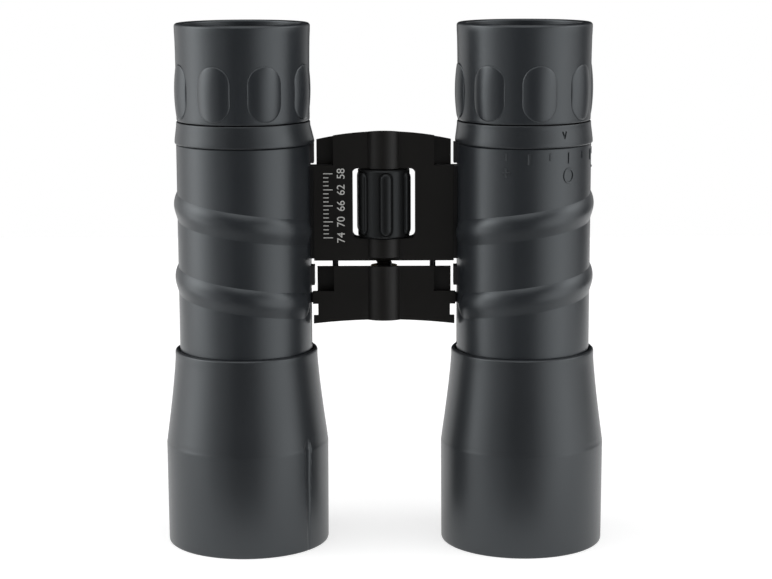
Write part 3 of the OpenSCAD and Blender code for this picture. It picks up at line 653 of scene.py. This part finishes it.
def flute_push_for(middle):
    """Depth of a hood's upright groove, which has an arched top and runs out towards the mouth."""
    half = size("flute_width") / 2
    depth = size("flute_depth")

    def push(turn, radius, height):
        across = math.remainder(turn - middle, math.tau) * radius
        beyond = max(height - (FLUTE_TOP - FLUTE_ARCH * half), 0) / FLUTE_ARCH
        rise = share_between(height, FLUTE_FOOT, FLUTE_TOP)
        inside = 1 - math.hypot(across, beyond) / (half * (0.35 + 0.65 * rise))
        if inside <= 0 or radius < HOOD_INSIDE:
            return 0.0
        return -depth * min(1.0, inside * 1.8) ** 0.6 * min(1.0, 0.15 + 1.3 * rise)

    return push


def make_hood(side):
    """Flared rubber lens hood, with a groove down its inner front."""
    low, high = node_box("right_hood")
    axis_x = (low.x + high.x) / 2
    mouth = (high.x - low.x) / 2
    top = high.z
    shoulder, neck, lip = HOOD_SHOULDER, HOOD_NECK, HOOD_LIP
    flare_top = top - 1.8
    flare = [(neck + (mouth - 0.2 - neck) * (1 - t) ** 1.25, shoulder + (flare_top - shoulder) * t)
             for t in spread(0, 1, 26)]
    straight = [(mouth - 0.12 + 0.1 * (z - 0.9) / (shoulder - 2.4), z) for z in spread(0.9, shoulder - 1.5, 64)]
    foot = [(mouth - 0.72, 0), (mouth - 0.42, 0.05), (mouth - 0.23, 0.2), (mouth - 0.14, 0.48)]
    step = [(mouth - 0.03, shoulder - 1.2), (mouth - 0.08, shoulder - 0.95), (mouth - 0.16, shoulder - 0.6)]
    lip_arc = [(neck - lip + lip * math.cos(a), top - lip + lip * math.sin(a))
               for a in spread(0.05, math.pi / 2, 8)]
    bore = mouth - HOOD_WALL
    throat = neck - 0.87
    inside = [(throat, top), (throat, top - 3.4), (SEAT_RADIUS, top - 3.4), (SEAT_RADIUS, top - 7.4),
              (14.8, top - 7.4), (14.8, top - 8.2), (throat, top - 10.7), (bore, shoulder + 1),
              (bore, 7.5), (bore + 0.5, 7.5), (bore + 0.5, 0.35), (bore + 0.7, 0)]
    flute = FLUTE_TURNS[side]
    margin = 0.09
    dense = spread(flute - margin, flute + margin, 36)
    rest = spread(flute + margin, flute - margin + math.tau, 150)[1:-1]
    bm = bmesh.new()
    lathe(bm, foot + straight + step + flare + lip_arc + inside, axis_x, dense + rest, flute_push_for(flute))
    mirror_left(bm, side)
    add_piece(f"{side}_hood_rubber", bm, f"{side}_barrel", "hood_rubber", (f"{side}_hood",))


# ---------- eyepieces ----------

RING_OUTSIDE = 15.9
RING_LEAN = 0.55
INDEX_TURN = math.radians(32.6)
INDEX_MARGIN = 0.075


def ring_outline(low, high):
    """Outline of the collar or the dioptre ring."""
    top = high.z
    foot = size("grip_radius") + 0.37
    crown = foot - 0.5
    return eased([
        (14.2, top, 0.1), (crown, top, 0.28), (crown + 0.06, top - 1.1, 0),
        (foot - 0.04, low.z + 1.0, 0.2), (foot, low.z + 0.3, 0.1), (foot - 0.1, low.z, 0.08),
        (14.9, low.z, 0), (14.9, low.z + 0.9, 0), (14.2, low.z + 0.9, 0),
    ])


def lean_push_for(low, high):
    """The collar's outside, which leans out at its foot towards the bridge."""
    def push(turn, radius, height):
        if radius < 15.5:
            return 0.0
        towards_bridge = max(0.0, math.sin(turn))
        falling = 1 - share_between(height, low.z, low.z + 0.75 * (high.z - low.z))
        return RING_LEAN * towards_bridge ** 1.5 * falling

    return push


def make_rings():
    """Collar under the left eyecup and dioptre ring under the right one."""
    low, high = node_box("left_collar")
    bm = bmesh.new()
    lathe(bm, ring_outline(low, high), barrel_axis("left"), full_turn(160), lean_push_for(low, high))
    add_piece("left_collar_ring", bm, "left_barrel", "ring_plastic", ("left_collar",))

    low, high = node_box("dioptre_ring")
    turns = [turn for turn in full_turn(160) if abs(turn - INDEX_TURN) > INDEX_MARGIN]
    turns += spread(INDEX_TURN - INDEX_MARGIN, INDEX_TURN + INDEX_MARGIN, 61)
    bm = bmesh.new()
    lathe(bm, divided(ring_outline(low, high), RING_OUTSIDE, 0.06), barrel_axis("right"), sorted(turns),
          index_push_for(INDEX_TURN, low.z + 2.15))
    add_piece("dioptre_ring_index", bm, "dioptre_ring", "ring_plastic", ("dioptre_ring",))


def divided(outline, least_radius, step):
    """The outline with more points along its outer side."""
    fine = []
    for start, end in zip(outline, outline[1:] + outline[:1]):
        start, end = Vector(start), Vector(end)
        count = max(1, round((end - start).length / step)) if min(start.x, end.x) > least_radius else 1
        fine += [start.lerp(end, part / count) for part in range(count)]
    return fine


def index_push_for(middle, foot):
    """Relief of the V-shaped index cut into the dioptre ring."""
    point, width, height = Vector((0, foot)), 0.48, 1.4
    depth, half = 0.34, 0.21

    def push(turn, radius, level):
        spot = Vector(((turn - middle) * radius, level))
        if radius < RING_OUTSIDE or abs(spot.x) > 1.2:
            return 0.0
        away = []
        for side in (-width, width):
            arm = Vector((side, height))
            along = share_between((spot - point).dot(arm), 0, arm.length_squared)
            away.append((spot - point - arm * along).length)
        return -depth * max(0.0, 1 - (min(away) / half) ** 2)

    return push


def stroke(bm, points, radius, centre_x, closed=False):
    """A raised line on a cylinder. Points are (distance round from the front, height)."""
    half = size("mark_width") / 2
    rise = size("mark_rise")
    path = []
    ends = list(zip(points, points[1:] + points[:1])) if closed else list(zip(points, points[1:]))
    for start, end in ends:
        steps = max(1, math.ceil((end - start).length / STROKE_STEP))
        path += [start.lerp(end, step / steps) for step in range(steps)]
    if not closed:
        path.append(points[-1])
    rings = []
    for place, point in enumerate(path):
        before = path[place - 1] if closed or place else point
        after = path[(place + 1) % len(path)] if closed or place + 1 < len(path) else point
        across = (after - before).normalized().orthogonal() * half
        ring = []
        for side, height in ((-1, -STROKE_SINK), (-1, rise * 0.55), (-0.6, rise),
                             (0.6, rise), (1, rise * 0.55), (1, -STROKE_SINK)):
            spot = point + across * side
            ring.append(bm.verts.new(on_cylinder(spot.x / radius, radius + height, spot.y, centre_x)))
        rings.append(ring)
    stitch(bm, rings, closed=closed, ends="open" if closed else "capped")


# Places of the ticks round the barrel in degrees, with their lengths, and of the +, 0 and - signs
DIOPTRE_TICKS = ((-18.6, 1.7), (1.0, 2.6), (19.6, 1.7), (37.6, 2.6), (55.2, 1.7), (73.8, 2.6), (92, 1.7))
DIOPTRE_SIGNS = (-18.6, 37.6, 92)
SIGN_REACH = 1.1
STROKE_STEP = 0.35
STROKE_SINK = 0.12


def make_marks():
    """Moulded dioptre scale on the right-hand barrel, under its ring."""
    radius = size("grip_radius")
    top = node_box("dioptre_ring")[0].z - 1.3
    centre_x = barrel_axis("right")
    bm = bmesh.new()

    def line(x, z, other_x, other_z):
        stroke(bm, [Vector((x, z)), Vector((other_x, other_z))], radius, centre_x)

    for degrees, tick in DIOPTRE_TICKS:
        x = math.radians(degrees) * radius
        line(x, top, x, top - tick)
    sign_z = top - 4.6
    plus, nought, minus = (math.radians(degrees) * radius for degrees in DIOPTRE_SIGNS)
    line(plus - SIGN_REACH, sign_z, plus + SIGN_REACH, sign_z)
    line(plus, sign_z - SIGN_REACH, plus, sign_z + SIGN_REACH)
    line(minus - SIGN_REACH, sign_z, minus + SIGN_REACH, sign_z)
    loop = [Vector((nought + 1.38 * math.sin(a), sign_z - 0.9 + 1.65 * math.cos(a))) for a in full_turn(28)]
    stroke(bm, loop, radius, centre_x, closed=True)
    add_piece("dioptre_marks", bm, "right_barrel", "grip_rubber")


PAD_CROWN = 7.9
PAD_ARCH = 84
PAD_SINK = 0.6
# Rings of a pad from its middle to its edge: share of its size, and how far it drops; None is its sunk root
PAD_EDGE = ((0.968, -0.012), (0.988, -0.045), (1.0, -0.13), (1.0, None))


def add_pad(bm, turn, centre_x, middle_z):
    """A crowned oval pad on an eyecup."""
    waist = size("cup_radius")
    half_w = size("pad_width") / 2
    straight = size("pad_length") / 2 - half_w
    centre = waist + size("pad_rise") - PAD_CROWN
    border = []
    for way, start in ((1, 0), (-1, math.pi)):
        border += [(half_w * math.cos(a), way * straight + half_w * math.sin(a))
                   for a in spread(start, start + math.pi, 24)]
        border += [(-way * half_w, way * z) for z in spread(straight, -straight, 6)[1:-1]]
    rings = []
    facing = Matrix.Rotation(turn, 3, "Z")
    for share, drop in (*((share, 0.0) for share in spread(0.08, 0.94, 12)), *PAD_EDGE):
        ring = []
        for u, v in border:
            x, z = u * share, v * share
            bulge = PAD_CROWN - z * z / PAD_ARCH
            out = waist - PAD_SINK if drop is None else centre + math.sqrt(bulge * bulge - x * x) + drop
            ring.append(bm.verts.new(facing @ Vector((x, -out, 0)) + Vector((centre_x, 0, middle_z + z))))
        rings.append(ring)
    stitch(bm, rings, ends="capped")


def make_eyecup(side):
    """Rubber eyecup with its raised pads."""
    low, high = node_box(f"{side}_eyecup")
    axis_x = barrel_axis(side)
    foot, top = low.z, high.z
    waist = size("cup_radius")
    rim = waist + 0.2
    bore = 15.01
    sleeve_top = node_box(f"{side}_eyecup_sleeve")[1].z
    floor = sleeve_top + 0.4
    outside = [(bore, foot), (waist - 0.28, foot), (waist - 0.13, foot + 0.05), (waist - 0.06, foot + 0.2),
               (waist - 0.05, foot + 0.8), (waist - 0.05, foot + 1.3), (waist - 0.03, foot + 6)]
    outside += [(waist - 0.01, top - 9.45), (waist + 0.02, top - 6.8), (waist + 0.06, top - 4.6),
                (rim - 0.1, top - 3.2), (rim - 0.03, top - 2.0)]
    rim_arc = [(rim - 0.75 + 0.75 * math.cos(a), top - 0.75 + 0.75 * math.sin(a))
               for a in spread(0.1, math.pi / 2, 9)]
    bead_arc = [(bore - 0.4 + 0.5 * math.cos(a), top - 0.5 + 0.5 * math.sin(a))
                for a in spread(math.pi / 2, math.pi, 7)]
    bowl = [(bore - 0.93, floor + 2.2), (bore - 0.97, floor + 1.0), (bore - 1.12, floor + 0.35), (bore - 1.5, floor)]
    bowl += [(12.85, floor), (12.85, sleeve_top + 0.02), (bore, sleeve_top + 0.02)]
    bm = bmesh.new()
    lathe(bm, outside + rim_arc + bead_arc + bowl, axis_x, full_turn(192))
    count = setting("pad_count")
    first = setting(f"{side}_cup_turn") * (-1 if side == "left" else 1)
    middle_z = foot + size("pad_length") / 2 + 0.6
    for number in range(count):
        add_pad(bm, first + math.tau * number / count, axis_x, middle_z)
    add_piece(f"{side}_eyecup_rubber", bm, f"{side}_eyecup", "eyecup_rubber", (f"{side}_eyecup",))


# ---------- optics ----------

# Radii of the lower and the upper face
OBJECTIVE_CURVES = (75, 52)
EYE_LENS_CURVES = (90, 32)
OCULAR_BODY = {"left": "left_barrel", "right": "right_ocular"}


def sag(curve, distance):
    """How far a sphere of radius curve falls away at this distance from its top."""
    return curve - math.sqrt(curve * curve - distance * distance)


def make_lens(node, body, low_curve, high_curve):
    """A smooth lens in place of a packed one, between its two spherical faces."""
    low, high = node_box(node)
    radius = (high.x - low.x) / 2
    steps = spread(0.0, 1.0, 16)
    face_down = [(max(radius * t, CORE), low.z + sag(low_curve, radius * t)) for t in steps]
    face_up = [(max(radius * t, CORE), high.z - sag(high_curve, radius * t)) for t in reversed(steps)]
    bm = bmesh.new()
    lathe(bm, face_down + face_up, axis_of(node), full_turn(96))
    add_piece(f"{node}_glass", bm, body, "coated_glass", (node,))


# ---------- bridges and focusing ----------

WHEEL_EDGE = 0.45
WHEEL_BORE = 1.52
FIRST_BEAD_TURN = math.radians(5)
GROOVE_DEPTH = 0.16
GROOVE_REACH = 0.22


def wheel_push_for(foot, top):
    """Relief of the focusing wheel's grip beads."""
    count = setting("bead_count")
    half = size("bead_width") / 2
    straight = (top - foot) / 2 - 0.75 - half
    middle = (foot + top) / 2
    rise = size("bead_rise")
    core = size("wheel_radius")

    def push(turn, radius, height):
        if radius < core - 0.1 or height < foot + WHEEL_EDGE or height > top - WHEEL_EDGE:
            return 0.0
        across = math.remainder(turn - FIRST_BEAD_TURN, math.tau / count) * (core + 0.2)
        outside = math.hypot(across, max(abs(height - middle) - straight, 0)) - half
        if outside < 0:
            inner = 1 + outside / half
            return rise * math.sqrt(max(0.0, 1 - inner * inner)) ** 0.9
        return -GROOVE_DEPTH * math.exp(-(outside / GROOVE_REACH) ** 2)

    return push


def make_wheel():
    """Focusing wheel with raised oval beads, each in a shallow groove."""
    low, high = node_box("focus_wheel")
    foot, top = low.z, high.z
    core = size("wheel_radius")
    outline = [(WHEEL_BORE, foot), (core - 0.45, foot), (core - 0.3, foot + 0.06), (core - 0.06, foot + 0.3)]
    outline += [(core, z) for z in spread(foot + 0.42, top - 0.42, 150)]
    outline += [(core - 0.06, top - 0.3), (core - 0.3, top - 0.06), (core - 0.45, top), (WHEEL_BORE, top)]
    bm = bmesh.new()
    lathe(bm, outline, 0.0, full_turn(330), wheel_push_for(foot, top))
    add_piece("focus_wheel_rubber", bm, "focus_wheel", "wheel_rubber", ("focus_wheel",))


THREAD_DEPTH = 0.3


def make_screw():
    """Focusing screw with its thread, and the plain shaft above it."""
    low, high = node_box("focus_screw")
    shoulder = node_box("focus_wheel")[0].z
    crest, shaft = 1.98, 1.47
    pitch = size("thread_pitch")

    def thread(turn, radius, height):
        if radius < crest - 0.01 or height > shoulder - 0.5 or height < low.z + 0.4:
            return 0.0
        phase = (height / pitch - turn / math.tau) % 1.0
        return -THREAD_DEPTH * abs(2 * phase - 1)

    outline = [(CORE, low.z), (crest - THREAD_DEPTH, low.z), (crest, low.z + 0.3)]
    outline += [(crest, z) for z in spread(low.z + 0.4, shoulder - 0.3, 190)]
    outline += [(crest, shoulder - 0.02), (shaft, shoulder), (shaft, high.z - 0.2), (shaft - 0.2, high.z),
                (CORE, high.z)]
    bm = bmesh.new()
    lathe(bm, outline, 0.0, full_turn(48), thread)
    add_piece("focus_screw_thread", bm, "focus_wheel", "steel", ("focus_screw",))


def print_text(bm, words, height, place):
    """Flat printed digits, turned to read along the bridge."""
    curve = bpy.data.curves.new("print", "FONT")
    curve.body = words
    curve.size = height
    curve.extrude = 0.01
    curve.align_x = "CENTER"
    curve.align_y = "CENTER"
    writing = place_object("print", curve)
    bpy.context.view_layer.update()
    mesh = bpy.data.meshes.new_from_object(writing)
    upright = Matrix.Translation(place) @ Matrix.Rotation(math.pi / 2, 4, "X") @ Matrix.Rotation(math.pi / 2, 4, "Z")
    mesh.transform(upright)
    bm.from_mesh(mesh)
    bpy.data.objects.remove(writing)
    bpy.data.meshes.remove(mesh)
    bpy.data.curves.remove(curve)


SCALE_LEFT = -14.6
SCALE_FOOT = 76.4
SCALE_TOP = 92.0
SCALE_NUMBERS = (74, 70, 66, 62, 58)
TICKS_PER_NUMBER = 4


def make_bridge_scale():
    """A plain eye-distance scale printed on the left wing of the bridge."""
    front = node_box("upper_bridge")[0].y - 0.012
    left = SCALE_LEFT
    bm = bmesh.new()
    spaces = len(SCALE_NUMBERS) - 1
    for number, z in enumerate(spread(SCALE_FOOT, SCALE_TOP, spaces * TICKS_PER_NUMBER)):
        reach = 1.3 if number % TICKS_PER_NUMBER else 2.3
        cube = bmesh.ops.create_cube(bm, size=1)["verts"]
        bmesh.ops.scale(bm, vec=(reach, 0.02, 0.2), verts=cube)
        bmesh.ops.translate(bm, vec=(left + reach / 2, front, z), verts=cube)
    for distance, z in zip(SCALE_NUMBERS, spread(SCALE_FOOT, SCALE_TOP, spaces)):
        print_text(bm, str(distance), 2.7, Vector((left + 4.35, front, z)))
    add_piece("bridge_scale", bm, "bridge", "bridge_black", finish=finishes()["printed_scale"])


# ---------- stage ----------

def make_camera():
    """Camera at the front, a little above the eyepieces."""
    studio = bpy.context.scene.binocular_studio
    lens = bpy.data.cameras.new("camera")
    lens.lens = studio.lens
    lens.sensor_width = 36
    camera = place_object("camera", lens)
    level = math.cos(studio.pitch)
    ahead = Vector((math.sin(studio.yaw) * level, math.cos(studio.yaw) * level, -math.sin(studio.pitch)))
    right = Vector((math.cos(studio.yaw), -math.sin(studio.yaw), 0))
    up = right.cross(ahead)
    tilt = Matrix.Rotation(studio.roll, 3, ahead)
    turn = Matrix((tilt @ right, tilt @ up, -ahead)).transposed().to_4x4()
    camera.matrix_world = Matrix.Translation((studio.camera_x, studio.camera_y, studio.camera_z)) @ turn
    bpy.context.scene.camera = camera


def stage_piece(name, vertices, faces, material):
    """A smooth surface of the studio, in metres."""
    mesh = bpy.data.meshes.new(name)
    mesh.from_pydata(vertices, [], faces)
    mesh.materials.append(material)
    mesh.shade_smooth()
    piece = place_object(name, mesh)
    return piece


def shader_tree(name):
    """A material without its shader: the material, its nodes and its output socket."""
    material = bpy.data.materials.new(name)
    material.use_nodes = True
    material.node_tree.nodes.remove(material.node_tree.nodes["Principled BSDF"])
    return material, Shading(material.node_tree), material.node_tree.nodes["Material Output"].inputs["Surface"]


def make_floor():
    """Pale table top: white as seen directly or through glass, apart from a soft shadow."""
    material, shading, surface = shader_tree("pale_floor")
    seen = shading.met_by("Camera", "Transmission", "Glossy")
    plain = shading.add("ShaderNodeBsdfDiffuse", sockets={"Color": (0.8, 0.8, 0.8, 1)})
    pale = shading.add("ShaderNodeBsdfDiffuse", sockets={"Color": (0.55, 0.55, 0.55, 1)})
    glow = shading.add("ShaderNodeEmission", sockets={"Color": (1, 1, 1, 1), "Strength": 0.66})
    white = shading.add("ShaderNodeAddShader", sockets={0: pale, 1: glow})
    join(shading.tree, surface, shading.add("ShaderNodeMixShader", sockets={0: seen, 1: plain, 2: white}))
    front, back, reach = -0.055, 0.5, 0.3
    stage_piece("floor", [(-reach, front, 0), (reach, front, 0), (reach, back, 0), (-reach, back, 0)],
                [(0, 1, 2, 3)], material)


# Brightness of the wall at each turn from the front in degrees, as shares of its level
MIDDLE_SHARES = ((-165, 0.0), (-150, 0.16), (-115, 0.17), (-85, 0.62), (-65, 0.3), (-45, 0.09), (-30, 0.09),
                 (-15, 0.0), (0, 0.03), (15, 0.02), (30, 0.18), (45, 0.31), (65, 0.41), (85, 0.26), (115, 0.0),
                 (150, 0.14), (165, 0.0))
HIGH_SHARES = ((-130, 0.01), (-80, 1.01), (-40, 0.0), (0, 0.0), (40, 0.02), (80, 0.71), (130, 0.0))
TOP_SHARES = ((-120, 0.0), (-60, 0.26), (0, 0.34), (60, 0.26), (120, 0.0))
LOW_SHARES = ((-90, 0.16), (0, 0.06), (90, 0.11))
# Heights in metres between which one row of shares gives way to the next
RISE_TO_HIGH = (0.2, 0.8)
RISE_TO_TOP = (0.9, 1.6)
FALL_TO_LOW = (-0.5, -1.0)


def make_studio_wall():
    """Curved wall round the table: dim behind the camera, lit at both sides and more so higher up."""
    material, shading, surface = shader_tree("studio_wall")
    place = shading.add("ShaderNodeTexCoord", output="Object")
    parts = shading.add("ShaderNodeSeparateXYZ", sockets={0: place}).socket.node.outputs
    side, ahead, height = (Wire(shading.tree, parts[axis]) for axis in "XYZ")
    angle_round = shading.add("ShaderNodeMath", {"operation": "ARCTAN2"}, {0: side, 1: ahead * -1})
    turn = angle_round * (1 / math.tau) + 0.5
    middle, high, top, low = (
        shading.add("ShaderNodeValToRGB", {"stops": [(degrees / 360 + 0.5, share) for degrees, share in shares]},
                    {"Fac": turn})
        for shares in (MIDDLE_SHARES, HIGH_SHARES, TOP_SHARES, LOW_SHARES))
    rising, topping, falling = (
        shading.add("ShaderNodeMapRange", sockets={"Value": height, "From Min": start, "From Max": end})
        for start, end in (RISE_TO_HIGH, RISE_TO_TOP, FALL_TO_LOW))
    blend = rising * (topping * (top - high) + high) + falling * low + (1 - rising - falling) * middle
    level = bpy.context.scene.binocular_studio.wall_level
    glow = shading.add("ShaderNodeEmission", sockets={"Color": blend, "Strength": level})
    clear = shading.add("ShaderNodeBsdfTransparent")
    seen = shading.met_by("Camera", "Transmission")
    join(shading.tree, surface, shading.add("ShaderNodeMixShader", sockets={0: seen, 1: glow, 2: clear}))
    radius, foot, head = 1.6, -3.0, 2.6
    turns = spread(math.radians(-180), math.radians(180), 120)
    vertices = [(radius * math.sin(t), -radius * math.cos(t), z) for z in (foot, head) for t in turns]
    count = len(turns)
    faces = [(n, n + 1, n + 1 + count, n + count) for n in range(count - 1)]
    stage_piece("studio_wall", vertices, faces, material)


def make_light():
    """White surroundings at a plain level."""
    world = bpy.data.worlds.new("studio")
    bpy.context.scene.world = world
    world.use_nodes = True
    world.node_tree.nodes["Background"].inputs["Color"].default_value = (1, 1, 1, 1)
    world.node_tree.nodes["Background"].inputs["Strength"].default_value = 1.0
    bpy.context.scene.view_settings.view_transform = "Standard"


# ---------- operators ----------

class BINOCULARS_OT_barrels(Operator):
    """Dress the barrels: armour, lens hoods and what they carry."""

    bl_idname = "binoculars.barrels"
    bl_label = "Barrels"

    def execute(self, context):
        for side in SIDES:
            make_grip(side)
            make_hood(side)
            eased_copy(f"{side}_barrel", f"{side}_barrel", f"{side}_barrel_shell", BARREL_EASE)
            dress(*of_side(side, "prism_cage", "prism_lower", "prism_roof", "focus_arm", "carrier",
                           "objective_ring", "objective_flint"))
            make_lens(f"{side}_objective_crown", f"{side}_carrier", *OBJECTIVE_CURVES)
        return {"FINISHED"}


class BINOCULARS_OT_eyepieces(Operator):
    """Dress the eyepieces: tubes, lenses, collar and dioptre ring."""

    bl_idname = "binoculars.eyepieces"
    bl_label = "Eyepieces"

    def execute(self, context):
        make_rings()
        make_marks()
        for side in SIDES:
            dress(*of_side(side, "eyepiece_tube", "ocular_cell", "field_stop", "field_lens", "ocular_spacer",
                           "ocular_ring", "glide_ring"))
            make_lens(f"{side}_eye_lens", OCULAR_BODY[side], *EYE_LENS_CURVES)
        dress("dioptre_pin")
        return {"FINISHED"}


class BINOCULARS_OT_eyecups(Operator):
    """Make the rubber eyecups over their sleeves."""

    bl_idname = "binoculars.eyecups"
    bl_label = "Eyecups"

    def execute(self, context):
        for side in SIDES:
            make_eyecup(side)
            dress(f"{side}_eyecup_sleeve")
        return {"FINISHED"}


class BINOCULARS_OT_bridges(Operator):
    """Finish both bridges, the hinge rods and the printed scale."""

    bl_idname = "binoculars.bridges"
    bl_label = "Bridges"

    def execute(self, context):
        ease = size("edge_ease")
        eased_copy("upper_bridge", "bridge", "upper_bridge_casting", ease)
        eased_copy("focus_bridge", "focus_bridge", "focus_bridge_casting", ease)
        make_bridge_scale()
        dress("left_hinge_rod", "right_hinge_rod", "shaft_bushing", "thrust_washers", "focus_nut")
        return {"FINISHED"}


class BINOCULARS_OT_focusing(Operator):
    """Make the focusing wheel and its screw."""

    bl_idname = "binoculars.focusing"
    bl_label = "Focusing wheel"

    def execute(self, context):
        make_wheel()
        make_screw()
        dress("wheel_pin")
        return {"FINISHED"}


class BINOCULARS_OT_stage(Operator):
    """Set up the camera, the floor and the light."""

    bl_idname = "binoculars.stage"
    bl_label = "Stage"

    def execute(self, context):
        make_camera()
        make_floor()
        make_studio_wall()
        make_light()
        return {"FINISHED"}


class BINOCULARS_PT_sidebar(Panel):
    """Sizes, colours and makers of the binoculars."""

    bl_label = "Binoculars"
    bl_idname = "BINOCULARS_PT_sidebar"
    bl_space_type = "VIEW_3D"
    bl_region_type = "UI"
    bl_category = "Binoculars"

    def draw(self, context):
        layout = self.layout
        for title, group in (("Sizes", context.scene.binocular_sizes), ("Colours", context.scene.binocular_colours),
                             ("Studio", context.scene.binocular_studio)):
            box = layout.box()
            box.label(text=title)
            for name in group.__annotations__:
                box.prop(group, name)
        for maker in MAKERS:
            layout.operator(maker.bl_idname)


GROUPS = {
    "binocular_sizes": BINOCULARS_PG_sizes,
    "binocular_colours": BINOCULARS_PG_colours,
    "binocular_studio": BINOCULARS_PG_studio,
}
MAKERS = (BINOCULARS_OT_barrels, BINOCULARS_OT_eyepieces, BINOCULARS_OT_eyecups, BINOCULARS_OT_bridges,
          BINOCULARS_OT_focusing, BINOCULARS_OT_stage)


def register():
    for group in GROUPS.values():
        bpy.utils.register_class(group)
    for name, group in GROUPS.items():
        setattr(bpy.types.Scene, name, PointerProperty(type=group))
    for maker in MAKERS:
        bpy.utils.register_class(maker)
    bpy.utils.register_class(BINOCULARS_PT_sidebar)


def unregister():
    bpy.utils.unregister_class(BINOCULARS_PT_sidebar)
    for maker in reversed(MAKERS):
        bpy.utils.unregister_class(maker)
    for name in GROUPS:
        delattr(bpy.types.Scene, name)
    for group in reversed(GROUPS.values()):
        bpy.utils.unregister_class(group)


def main():
    register()
    bpy.ops.binoculars.barrels()
    bpy.ops.binoculars.eyepieces()
    bpy.ops.binoculars.eyecups()
    bpy.ops.binoculars.bridges()
    bpy.ops.binoculars.focusing()
    bpy.ops.binoculars.stage()


if __name__ == "__main__":
    main()
